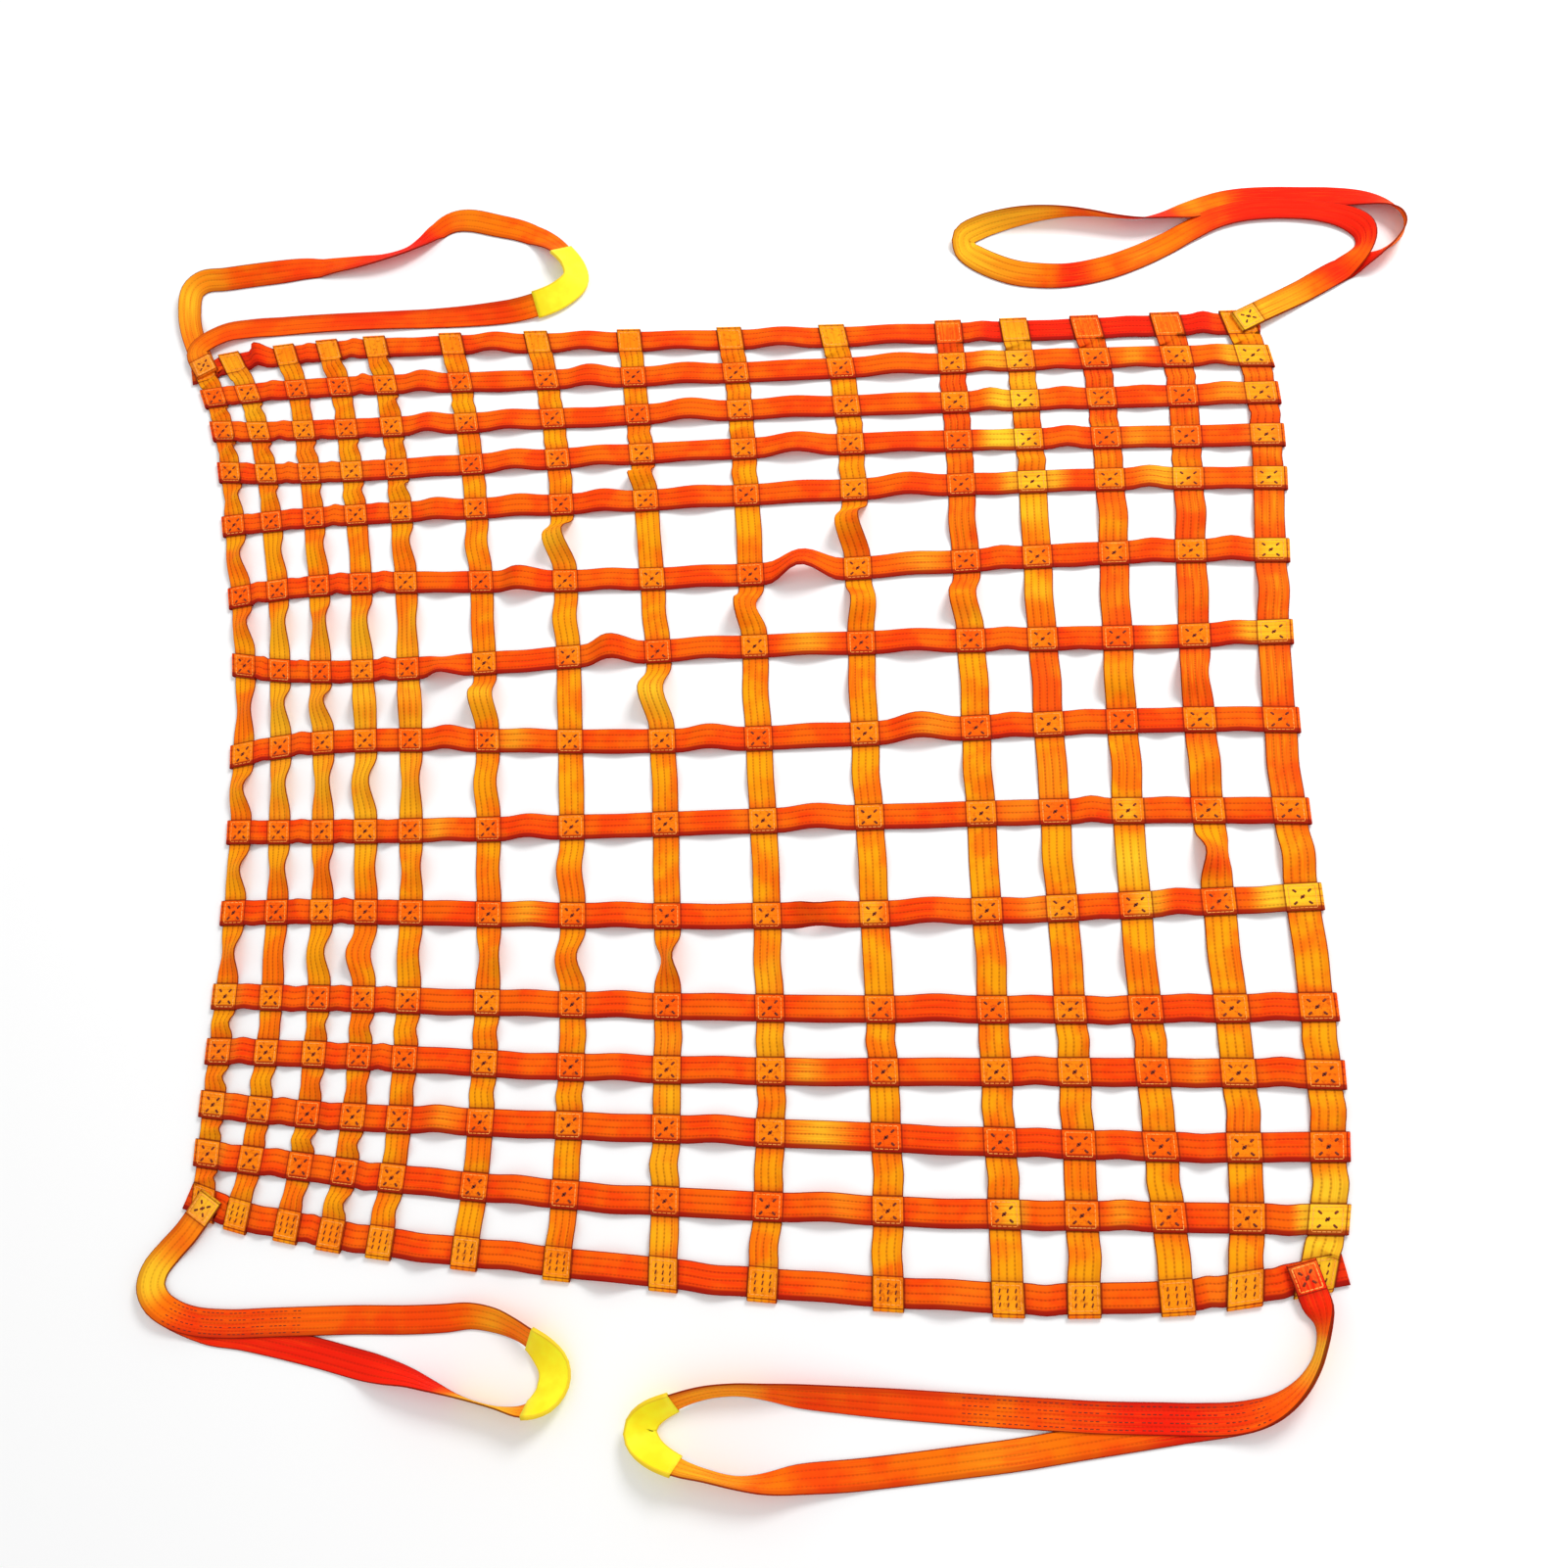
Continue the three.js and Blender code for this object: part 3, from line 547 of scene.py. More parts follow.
def patch_reach(run, column, row, folded):
    slant = abs(np.dot(heading(ALONG, column, row), heading(ACROSS, column, row)))
    along = strap_width(ALONG, column)
    own, other = (along, CROSSWISE_WIDTH) if run == ALONG else (CROSSWISE_WIDTH, along)
    return (other + (0.0 if folded else own * slant)) / 2 / math.sqrt(1 - slant * slant) + PATCH_MARGIN


# Height of the underside of a strap at a crossing
def level_at(run, strap, other):
    border = strap in (0, LAST)
    at_border = other in (0, LAST)
    if run == ACROSS and border:
        return PLY
    if at_border:
        return 2 * PLY
    if run == ACROSS or border:
        return PLY
    return 0.0


# Sway, lift and twist of one span, from its row in the table or a small steady ripple
def slack_of(run, strap, cell):
    for row in SLACK:
        if row[:3] == (run, strap, cell):
            return row[3:]
    phase = PHASE_PER_STRAP * strap + PHASE_PER_CELL * cell
    if run == ACROSS:
        phase += CROSSWISE_PHASE
    rise = NARROW_LIFT if is_narrow(cell) else WIDE_LIFT
    turn = BORDER_TURN if strap == 0 and cell < BORDER_FLAT_CELL else TURN
    if run == ACROSS or strap >= TURNED_STRAPS:
        turn = 0.0
    return (
        LOOSE_SWAY * math.sin(SWAY_PACE * phase),
        rise * (1 + math.sin(phase)) / 2,
        turn + LOOSE_TWIST * math.sin(TWIST_PACE * phase),
    )


UP = np.array([0.0, 0.0, 1.0])


def turned(vector, axis, degrees):
    angle = math.radians(degrees)
    return (
        vector * math.cos(angle)
        + np.cross(axis, vector) * math.sin(angle)
        + axis * np.dot(axis, vector) * (1 - math.cos(angle))
    )


# Place at a share f of the smooth curve between two points that has the given slopes at its ends
def curve(f, start, end, leave, arrive):
    blend = f * f * (3 - 2 * f)
    return (
        (1 - blend) * start + blend * end
        + (f ** 3 - 2 * f ** 2 + f) * leave + (f ** 3 - f ** 2) * arrive
    )


# A section of webbing: middle, unit width direction, unit normal, the crossing it belongs to, and its tone
def section(middle, side, normal, patch=None, tone=0.0):
    return {"middle": middle, "side": side, "normal": normal, "patch": patch, "tone": tone}


def strap_patches(run, strap):
    patches = []
    for k in range(STRAPS):
        other = LAST - k if run == ALONG else k
        column, row = (strap, other) if run == ALONG else (other, strap)
        ahead = heading(run, column, row)
        across = heading(ACROSS if run == ALONG else ALONG, column, row)
        middle = crossing(column, row)
        middle[2] = level_at(run, strap, other) + THICKNESS / 2
        folded = other in (0, LAST) and (run == ALONG or 0 < strap < LAST)
        reach = ahead * patch_reach(run, column, row, folded)
        side = np.cross(UP, ahead)
        if folded:
            side = across / np.dot(across, side)
        patches.append({
            "place": other,
            "crossed": CROSSWISE_WIDTH if run == ALONG else strap_width(ALONG, column),
            "middle": middle,
            "ahead": ahead,
            "side": side,
            "measure": np.cross(across, UP),
            "start": middle - reach,
            "end": middle + reach,
        })
    return patches


# One strap as sections from end to end, with a flat patch at each crossing and folded ends
def strap_sections(run, strap):
    patches = strap_patches(run, strap)
    width = strap_width(run, strap)
    onward = PATCH_SHARE if run == ACROSS else -PATCH_SHARE
    sections = []
    for k, patch in enumerate(patches):
        cell = LAST - k if run == ALONG else k - 1
        if k > 0:
            span = span_sections(slack_of(run, strap, cell), cell, patches[k - 1], patch, width)
            low, high = patches[k - 1]["place"] + onward, patch["place"] - onward
            for m, made in enumerate(span):
                made["tone"] = dye_and_light_at(run, strap, low + (high - low) * (m + 1) / (len(span) + 1))
            sections += span
        for step in PATCH_STEPS:
            middle = patch["middle"] + (patch["end"] - patch["middle"]) * step
            tone = dye_and_light_at(run, strap, patch["place"] + onward * step)
            sections.append(section(middle, patch["side"], UP, patch, tone))
    if run == ACROSS and strap in (0, LAST):
        return sections
    start_fold = fold_sections(patches[0], patches[0]["start"], sections[0]["tone"])
    end_fold = fold_sections(patches[LAST], patches[LAST]["end"], sections[-1]["tone"])
    return start_fold + sections + end_fold[::-1]


# The loose span between two flat patches, on a curve that leaves both in line
def span_sections(slack, cell, before, after, width):
    sway, lift, twist = slack
    count = NARROW_FINE if is_narrow(cell) else WIDE_FINE
    start, end = before["end"], after["start"]
    chord = np.linalg.norm(end - start)
    ease = min(1.0, chord / FREE_SPAN)
    leave, arrive = before["ahead"] * chord, after["ahead"] * chord
    made = []
    for step in range(1, count + 1):
        f = step / (count + 1)
        swell = ease * math.sin(math.pi * f) ** 2
        slope = (
            6 * f * (1 - f) * (end - start)
            + (3 * f ** 2 - 4 * f + 1) * leave + (3 * f ** 2 - 2 * f) * arrive
        )
        ahead = unit(slope * (1, 1, 0))
        side = np.cross(UP, ahead)
        angle = twist * swell
        middle = curve(f, start, end, leave, arrive) + side * sway * swell
        middle[2] += lift * swell + width / 2 * abs(math.sin(math.radians(angle)))
        patch = before if f < 0.5 else after
        made.append(section(middle, turned(side, ahead, angle), turned(UP, ahead, angle), patch))
    return made


# A strap's end folded round a border and tucked under it, from the tip out to the edge of the patch
def fold_sections(patch, edge, tone):
    outward = unit(edge - patch["middle"])
    centre = edge - UP * PLY
    made = []
    for degrees in FOLD_ANGLES:
        angle = math.radians(degrees)
        normal = UP * math.cos(angle) + outward * math.sin(angle)
        made.append(section(centre + normal * PLY, patch["side"], normal, None, tone))
    tucked = np.linalg.norm(edge - patch["middle"]) + patch["crossed"] / 2
    tip = made[0]["middle"] - outward * tucked
    return [section(tip, patch["side"], made[0]["normal"], None, tone)] + made


# Outline of the webbing's section: flat underside, rounded edges and a grooved top
def webbing_outline(width):
    half, top = width / 2, THICKNESS / 2
    flat = half * FLAT_SHARE
    under = [(x, -top) for x in (-flat, -half / 2, 0.0, half / 2, flat)]
    right = [(half - EDGE_INSET, -EDGE_HEIGHT), (half, 0.0), (half - EDGE_INSET, EDGE_HEIGHT)]
    upper = [(flat, top)]
    for groove in (half / 2, 0.0, -half / 2):
        upper += [
            (groove + half / 4, top + SWELL),
            (groove + GROOVE_HALF, top),
            (groove, top - GROOVE_DEPTH),
            (groove - GROOVE_HALF, top),
        ]
    upper += [(-half * 3 / 4, top + SWELL), (-flat, top)]
    left = [(-x, -y) for x, y in right]
    return np.array(under + right + upper + left)


def ring_quads(rings, size, start=0, inward=False):
    k, e = np.meshgrid(np.arange(rings - 1), np.arange(size), indexing="ij")
    a = start + k * size + e
    b = start + k * size + (e + 1) % size
    quads = np.stack([a, b, b + size, a + size], -1).reshape(-1, 4)
    return (quads[:, ::-1] if inward else quads).tolist()


def lengths_along(points):
    steps = np.linalg.norm(np.diff(points, axis=0), axis=1)
    return np.concatenate([[0.0], np.cumsum(steps)])


# A mesh object with the places on its webbing kept for its material:
# place holds the place across the webbing and the place across the nearest crossing strap, both on a scale
# where a strap's edges are at 25, and mm along the webbing
def make_object(name, points, faces, place, tone, material):
    mesh = bpy.data.meshes.new(name)
    mesh.from_pydata((np.asarray(points) * MM).tolist(), [], faces)
    mesh.attributes.new("place", "FLOAT_VECTOR", "POINT").data.foreach_set("vector", np.ravel(place))
    mesh.attributes.new("tone", "FLOAT", "POINT").data.foreach_set("value", np.ravel(tone))
    mesh.polygons.foreach_set("use_smooth", [True] * len(mesh.polygons))
    mesh.materials.append(material)
    mesh.validate()
    thing = bpy.data.objects.new(name, mesh)
    bpy.context.scene.collection.objects.link(thing)
    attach(thing, "root")
    return thing


# Solid webbing through a list of sections; gives the object and its length in mm
def webbing_object(name, sections, outline, material):
    middles = np.array([s["middle"] for s in sections])
    sides = np.array([s["side"] for s in sections])
    normals = np.array([s["normal"] for s in sections])
    along = lengths_along(middles)
    points = (
        middles[:, None]
        + sides[:, None] * outline[None, :, :1]
        + normals[:, None] * outline[None, :, 1:]
    )
    place = np.zeros((len(sections), len(outline), 3))
    tone = np.zeros((len(sections), len(outline)))
    place[:, :, 0] = outline[None, :, 0] * MATERIAL_HALF / outline[:, 0].max()
    place[:, :, 1] = FAR_AWAY
    place[:, :, 2] = along[:, None]
    for k, s in enumerate(sections):
        tone[k] = s["tone"]
        if s["patch"] is not None:
            reached = points[k] - s["patch"]["middle"]
            scale = 2 * MATERIAL_HALF / s["patch"]["crossed"]
            place[k, :, 1] = np.abs(reached @ s["patch"]["measure"]) * scale
    size = len(outline)
    last = (len(sections) - 1) * size
    faces = ring_quads(len(sections), size)
    faces.append(list(range(size))[::-1])
    faces.append(list(range(last, last + size)))
    thing = make_object(name, points.reshape(-1, 3), faces, place, tone, material)
    return thing, along[-1]


# Node helpers
class Nodes:
    # Sockets of a mix node that are for colours
    FIRST_COLOUR = 6
    SECOND_COLOUR = 7
    MIXED_COLOUR = 2

    def __init__(self, name):
        self.material = bpy.data.materials.new(name)
        self.material.use_nodes = True
        self.tree = self.material.node_tree
        self.shader = self.tree.nodes["Principled BSDF"]

    def add(self, kind, **settings):
        node = self.tree.nodes.new(kind)
        for key, value in settings.items():
            setattr(node, key, value)
        return node

    def plug(self, socket, value):
        if hasattr(value, "is_output"):
            self.tree.links.new(value, socket)
        else:
            socket.default_value = value

    def math(self, operation, *values):
        node = self.add("ShaderNodeMath", operation=operation)
        for socket, value in zip(node.inputs, values):
            self.plug(socket, value)
        return node.outputs[0]

    def times(self, first, second):
        return self.math("MULTIPLY", first, second)

    def wave(self, value, pace):
        return self.math("SINE", self.times(value, pace))

    def ramp(self, value, low, high, to_low=0.0, to_high=1.0):
        node = self.add("ShaderNodeMapRange", interpolation_type="SMOOTHSTEP")
        for socket, setting in zip(node.inputs, (value, low, high, to_low, to_high)):
            self.plug(socket, setting)
        return node.outputs[0]

    def mix(self, factor, first, second):
        node = self.add("ShaderNodeMix", data_type="RGBA")
        self.plug(node.inputs[0], factor)
        self.plug(node.inputs[self.FIRST_COLOUR], first)
        self.plug(node.inputs[self.SECOND_COLOUR], second)
        return node.outputs[self.MIXED_COLOUR]

    def noise(self, vector, scale, detail):
        node = self.add("ShaderNodeTexNoise")
        self.plug(node.inputs["Vector"], vector)
        node.inputs["Scale"].default_value = scale
        node.inputs["Detail"].default_value = detail
        return node.outputs["Fac"]

    def attribute(self, name, output):
        return self.add("ShaderNodeAttribute", attribute_name=name).outputs[output]

    def spot(self):
        return self.add("ShaderNodeTexCoord").outputs["Object"]

    def split(self, vector):
        node = self.add("ShaderNodeSeparateXYZ")
        self.plug(node.inputs[0], vector)
        return node.outputs

    def bump(self, height, strength, distance):
        node = self.add("ShaderNodeBump")
        node.inputs["Strength"].default_value = strength
        node.inputs["Distance"].default_value = distance
        self.plug(node.inputs["Height"], height)
        self.tree.links.new(node.outputs[0], self.shader.inputs["Normal"])

    def surface(self, colour, roughness, specular):
        self.plug(self.shader.inputs["Base Color"], colour)
        self.plug(self.shader.inputs["Roughness"], roughness)
        self.plug(self.shader.inputs["Specular IOR Level"], specular)
        return self.material


def rgb(red, green, blue):
    return (red, green, blue, 1.0)


YELLOW = rgb(1.0, 0.56, 0.02)
RED = rgb(0.90, 0.014, 0.002)
# Dark colours: the line colour darkens real ribs and draws painted shade lines; the dark red draws mottle in
# sewn boxes and painted shade
DARK_LINE = rgb(0.17, 0.010, 0.002)
DARK_RED = rgb(0.30, 0.004, 0.002)

# Noise on the webbing, as scale and detail, and how fibres stretch it along a strap
DYE_NOISE = (13.0, 4.0)
CLOUD_NOISE = (2.6, 1.0)
BOX_NOISE = (6.0, 0.0)
GRAIN_NOISE = (150.0, 2.0)
FIBRE_NOISE = (1.0, 3.0)
FIBRE_STRETCH = (0.55, 0.0, 0.012)

# Ramps: the two values between which a look comes in, then its strength at both where that isn't 0 and 1
DYE_RAMP = (0.38, 0.62)
FIBRE_RAMP = (0.35, 0.75, 0.0, 0.5)
BOX_RAMP = (25.0, 23.5)
GRAIN_RAMP = (0.5, 0.72, 0.0, 0.45)
STREAK_RAMP = (0.3, 0.7, 0.62, 1.1)
CLOUD_RAMP = (0.60, 0.78, 0.0, 0.25)
YELLOW_RAMP = (0.0, 0.95)
RED_RAMP = (0.0, 0.85)
DASH_RAMP = (-0.6, 0.6, 0.55, 1.0)
RIB_RAMP = (2.6, 0.6)
EDGE_RAMP = (22.6, 24.4)
NEAR_EDGE_SHADE_RAMP = (-13.0, -18.5)
ROUGH_RAMP = (0.2, 0.8, 0.7, 0.85)

# Beside a crossing, a painted soft shade and a painted shadow line at the step onto the crossing: the ramps
# in and out, the strength and the colour
BESIDE = (
    ((24.6, 25.2), (40.0, 26.0), 0.3, DARK_RED),
    ((24.4, 25.2), (28.4, 26.2), 0.7, DARK_LINE),
)

# Strength of a sewn box's tint, of the painted shade on the edges, and of the ribs in a sewn box
BOX_TINT = 0.65
EDGE_DARK = 0.85
BOX_RIBS = 1 / 3

# Ribs and weave: pitch of the ribs, radians per unit of the waves, slant of the weft, heights, and the bump
RIB_PITCH = 12.5
DASH_PACE = 0.9
WARP_PACE = 4.2
WEFT_PACE = 3.1
WEFT_SLANT = 0.6
WEAVE_HEIGHT = 0.5
RIB_HEIGHT = 1.2
WEB_BUMP = (0.45, 0.0004)
WEB_SPECULAR = 0.08


# Woven webbing with dark ribs, painted shade along its edges and beside each crossing, a paler sewn box at
# each crossing, and tones of uneven dye and painted light.
# "boxes" are the two colours that a sewn box lies between, and the near edge's strength is how dark the
# painted shade is on the edge on the strap's right-hand side, which faces the viewer on crosswise straps.
# "ribs" is how dark the ribs are.
def webbing_material(name, deep, light, boxes, near_edge_shade, ribs):
    n = Nodes(name)
    place = n.attribute("place", "Vector")
    across, apart, run = n.split(place)
    spot = n.spot()
    streak = n.add("ShaderNodeVectorMath", operation="MULTIPLY")
    n.plug(streak.inputs[0], place)
    n.plug(streak.inputs[1], FIBRE_STRETCH)
    fibres = n.noise(streak.outputs[0], *FIBRE_NOISE)
    colour = n.mix(n.ramp(n.noise(spot, *DYE_NOISE), *DYE_RAMP), deep, light)
    colour = n.mix(n.ramp(fibres, *FIBRE_RAMP), colour, light)
    # Sewn box at a crossing
    inside = n.ramp(apart, *BOX_RAMP)
    box = n.mix(n.ramp(n.noise(spot, *BOX_NOISE), *DYE_RAMP), *boxes)
    colour = n.mix(n.times(inside, BOX_TINT), colour, box)
    grain = n.ramp(n.noise(spot, *GRAIN_NOISE), *GRAIN_RAMP)
    colour = n.mix(n.times(inside, grain), colour, DARK_RED)
    # Uneven dye and painted light and shade from the tone, in streaks along the fibres
    uneven = n.times(n.attribute("tone", "Fac"), n.ramp(fibres, *STREAK_RAMP))
    tone = n.math("ADD", uneven, n.ramp(n.noise(spot, *CLOUD_NOISE), *CLOUD_RAMP))
    colour = n.mix(n.ramp(tone, *YELLOW_RAMP), colour, YELLOW)
    colour = n.mix(n.ramp(n.times(tone, -1.0), *RED_RAMP), colour, RED)
    # Ribs, and painted shade along both edges and on the near edge
    nearest = n.times(n.math("ROUND", n.math("DIVIDE", across, RIB_PITCH)), RIB_PITCH)
    from_rib = n.math("ABSOLUTE", n.math("SUBTRACT", across, nearest))
    dash = n.ramp(n.wave(run, DASH_PACE), *DASH_RAMP)
    rib = n.times(n.ramp(from_rib, *RIB_RAMP), dash)
    shown = n.times(n.ramp(inside, 0.0, 1.0, ribs, ribs * BOX_RIBS), rib)
    colour = n.mix(shown, colour, DARK_LINE)
    edge = n.ramp(n.math("ABSOLUTE", across), *EDGE_RAMP)
    colour = n.mix(n.times(edge, EDGE_DARK), colour, DARK_LINE)
    # Painted shade on the edge that faces the viewer on crosswise straps
    colour = n.mix(n.times(n.ramp(across, *NEAR_EDGE_SHADE_RAMP), near_edge_shade), colour, DARK_RED)
    # Painted soft shade and painted shadow line beside each crossing
    for ramp_in, ramp_out, strength, shade in BESIDE:
        band = n.times(n.ramp(apart, *ramp_in), n.ramp(apart, *ramp_out))
        colour = n.mix(n.times(band, strength), colour, shade)
    # Weave relief
    slanted = n.math("ADD", run, n.times(across, WEFT_SLANT))
    weave = n.times(n.wave(across, WARP_PACE), n.wave(slanted, WEFT_PACE))
    height = n.math("SUBTRACT", n.times(weave, WEAVE_HEIGHT), n.times(rib, RIB_HEIGHT))
    n.bump(height, *WEB_BUMP)
    return n.surface(colour, n.ramp(fibres, *ROUGH_RAMP), WEB_SPECULAR)


# Yellow sleeve of close smooth cloth with soft creases, painted shade deeper in their hollows, and darker
# edges
SLEEVE_DEEP = rgb(1.0, 0.82, 0.0)
SLEEVE_LIGHT = rgb(1.0, 0.97, 0.012)
SLEEVE_EDGE = rgb(0.75, 0.36, 0.01)
CREASE_NOISE = (24.0, 3.0)
CREASE_RAMP = (0.35, 0.7)
CREASE_HEIGHT = 3.0
SLEEVE_EDGE_RAMP = (24.5, 27.0)
SLEEVE_EDGE_DARK = 0.5
SLEEVE_WEAVE_PACE = 6.0
SLEEVE_WEAVE_HEIGHT = 0.2
SLEEVE_BUMP = (0.4, 0.0008)
SLEEVE_ROUGH = 0.55
SLEEVE_SPECULAR = 0.35


def sleeve_material():
    n = Nodes("yellow_sleeve")
    across, _, run = n.split(n.attribute("place", "Vector"))
    creases = n.noise(n.spot(), *CREASE_NOISE)
    # Painted shade: the colour is deeper where the creases' relief is low
    colour = n.mix(n.ramp(creases, *CREASE_RAMP), SLEEVE_DEEP, SLEEVE_LIGHT)
    edge = n.ramp(n.math("ABSOLUTE", across), *SLEEVE_EDGE_RAMP)
    colour = n.mix(n.times(edge, SLEEVE_EDGE_DARK), colour, SLEEVE_EDGE)
    weave = n.times(n.wave(across, SLEEVE_WEAVE_PACE), n.wave(run, SLEEVE_WEAVE_PACE))
    height = n.math("ADD", n.times(weave, SLEEVE_WEAVE_HEIGHT), n.times(creases, CREASE_HEIGHT))
    n.bump(height, *SLEEVE_BUMP)
    return n.surface(colour, SLEEVE_ROUGH, SLEEVE_SPECULAR)


# Sewing thread
THREAD_NOISE = (60.0, 2.0)
THREAD_RAMP = (0.3, 0.7)
THREAD_ROUGH = 0.6
THREAD_SPECULAR = 0.3


def thread_material(name, colour, shaded):
    n = Nodes(name)
    uneven = n.mix(n.ramp(n.noise(n.spot(), *THREAD_NOISE), *THREAD_RAMP), colour, shaded)
    return n.surface(uneven, THREAD_ROUGH, THREAD_SPECULAR)


# Painted light: one webbing, painted amber on the lengthwise straps and red on the crosswise ones, standing
# in for the sheen of its weave in the light
WEB_ALONG = webbing_material(
    "webbing_along",
    deep=rgb(1.0, 0.14, 0.001),
    light=rgb(1.0, 0.35, 0.002),
    boxes=(rgb(1.0, 0.25, 0.004), rgb(1.0, 0.36, 0.01)),
    near_edge_shade=0.2,
    ribs=0.5,
)
WEB_ACROSS = webbing_material(
    "webbing_across",
    deep=rgb(0.96, 0.045, 0.0005),
    light=rgb(1.0, 0.13, 0.001),
    boxes=(rgb(1.0, 0.13, 0.001), rgb(1.0, 0.31, 0.004)),
    near_edge_shade=0.9,
    ribs=0.45,
)
WEB_SLING = webbing_material(
    "sling_webbing",
    deep=rgb(1.0, 0.08, 0.0005),
    light=rgb(1.0, 0.18, 0.001),
    boxes=(rgb(1.0, 0.3, 0.02), rgb(1.0, 0.4, 0.06)),
    near_edge_shade=0.4,
    ribs=0.28,
)
SLEEVE = sleeve_material()
THREAD_PALE = thread_material("thread_pale", rgb(1.0, 0.46, 0.10), rgb(1.0, 0.28, 0.02))
# Dark thread, which also stands in for painted shade in the stitch dimples and needle holes
THREAD_DARK_AND_DIMPLE_SHADE = thread_material("thread_dark_and_dimple_shade", rgb(0.12, 0.012, 0.003), rgb(0.22, 0.025, 0.004))


def strap_name(run, strap):
    names = {ALONG: ("border_left", "border_right"), ACROSS: ("border_far", "border_near")}
    if strap == 0:
        return names[run][0]
    if strap == LAST:
        return names[run][1]
    return f"{run}_{strap:02d}"


# Straps of the grid
RUNS = ((ALONG, WEB_ALONG, "webbing_along"), (ACROSS, WEB_ACROSS, "webbing_across"))
for run, material, slot in RUNS:
    for strap in range(STRAPS):
        node = strap_name(run, strap)
        width = strap_width(run, strap)
        outline = webbing_outline(width)
        web, length = webbing_object("web_" + node, strap_sections(run, strap), outline, material)
        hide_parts(node)


# All rows of a sling in order, each with its ply
def sling_rows(sling):
    leaves = sling["leaves"]
    out = [(*row, leaves) for row in sling["tail"]]
    eye = [(*row, 0) for row in sling["eye"]]
    back = [(x, y, -lean, lift, tone, 1 - leaves) for x, y, lean, lift, tone in sling["tail"]]
    return np.array(out + eye + back[::-1], float)


# A sling's sections between two of its rows, on smooth curves through all its rows
def sling_sections(rows, first, last):
    places = lengths_along(rows[:, :2])
    ends = np.arange(len(rows))
    low, high = np.maximum(ends - 1, 0), np.minimum(ends + 1, len(rows) - 1)
    slopes = (rows[high] - rows[low]) / (places[high] - places[low])[:, None]

    def at(t):
        k = min(int(t), len(rows) - 2)
        f = t - k
        span = places[k + 1] - places[k]
        return curve(f, rows[k], rows[k + 1], span * slopes[k], span * slopes[k + 1])

    stops = [float(first)]
    for k in range(first, last):
        steps = max(2, round((places[k + 1] - places[k]) / SLING_FINE))
        stops += [k + m / steps for m in range(1, steps + 1)]
    made = []
    for t in stops:
        x, y, lean, lift, tone, layer = at(t)
        step = at(min(t + HEADING_STEP, len(rows) - 1)) - at(max(t - HEADING_STEP, 0))
        ahead = unit(np.array([step[0], step[1], 0.0]))
        side, normal = turned(np.cross(UP, ahead), ahead, lean), turned(UP, ahead, lean)
        lean = math.radians(lean)
        rise = SLING_WIDTH / 2 * abs(math.sin(lean)) + THICKNESS / 2 * abs(math.cos(lean))
        middle = np.array([x, y, max(lift, 0.0) + rise]) + normal * PLY * max(layer, 0.0)
        made.append(section(middle, side, normal, None, tone))
    return made


# Middle of the sewn box on a sling's root, on top of both plies, and the way in which the sling leaves
def sling_root(rows):
    away = unit(np.append(rows[1][:2] - rows[0][:2], 0.0))
    corner = np.array([rows[0][0], rows[0][1], CORNER_TOP + PLY + THICKNESS])
    return corner + away * ROOT_AT, away


SLING_OUTLINE = webbing_outline(SLING_WIDTH)
SLING_ROWS = {sling["name"]: sling_rows(sling) for sling in SLINGS}
for sling in SLINGS:
    name = sling["name"]
    rows = SLING_ROWS[name]
    sections = sling_sections(rows, 0, len(rows) - 1)
    root, away = sling_root(rows)
    for s in sections:
        if np.linalg.norm(s["middle"] - root) < ROOT_REACH:
            s["patch"] = {"middle": root, "measure": away, "crossed": ROOT_BOX}
    web, length = webbing_object("web_" + name, sections, SLING_OUTLINE, WEB_SLING)
    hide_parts(name)


# Outline of a flat tube, by its outer width and thickness
def tube_outline(width, thickness):
    half, corner = width / 2, thickness / 2
    turns = np.linspace(0, 2 * math.pi, TUBE_POINTS, endpoint=False) + math.pi / TUBE_POINTS
    bulge = np.stack([np.cos(turns), np.sin(turns)], 1)
    spread = np.clip(bulge[:, 0] * TUBE_SPREAD, -1, 1) * (half - corner)
    rounded = np.clip(bulge[:, 1] * TUBE_FLATNESS, -1, 1) * corner
    return np.stack([spread + bulge[:, 0] * corner, rounded], 1)


# An open-ended flat sleeve round webbing
def sleeve_object(name, sections):
    width = SLING_WIDTH + 2 * SLEEVE_SIDE_ROOM
    thickness = THICKNESS + 2 * SLEEVE_ROOM
    outer = tube_outline(width + 2 * SLEEVE_WALL, thickness + 2 * SLEEVE_WALL)
    inner = tube_outline(width, thickness)
    middles = np.array([s["middle"] for s in sections])
    along = lengths_along(middles)
    rings, places = [], []
    for outline in (outer, inner):
        for k, s in enumerate(sections):
            rings.append(s["middle"] + s["side"] * outline[:, :1] + s["normal"] * outline[:, 1:])
            places.append(np.stack([outline[:, 0], np.full(len(outline), FAR_AWAY),
                                    np.full(len(outline), along[k])], 1))
    count, size = len(sections), len(outer)
    faces = ring_quads(count, size) + ring_quads(count, size, count * size, True)
    for e in range(size):
        following = (e + 1) % size
        inside = count * size
        far = (count - 1) * size
        faces.append([e, inside + e, inside + following, following])
        faces.append([far + following, inside + far + following, inside + far + e, far + e])
    points = np.concatenate(rings)
    plain = np.zeros(len(points))
    thing = make_object(name, points, faces, np.concatenate(places), plain, SLEEVE)
    return thing, along[-1]


for name, carrier, first, last in SLEEVES:
    tail = next(len(sling["tail"]) for sling in SLINGS if sling["name"] == carrier)
    sections = sling_sections(SLING_ROWS[carrier], tail + first, tail + last)
    tube, length = sleeve_object("tube_" + name, sections)
    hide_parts(name)


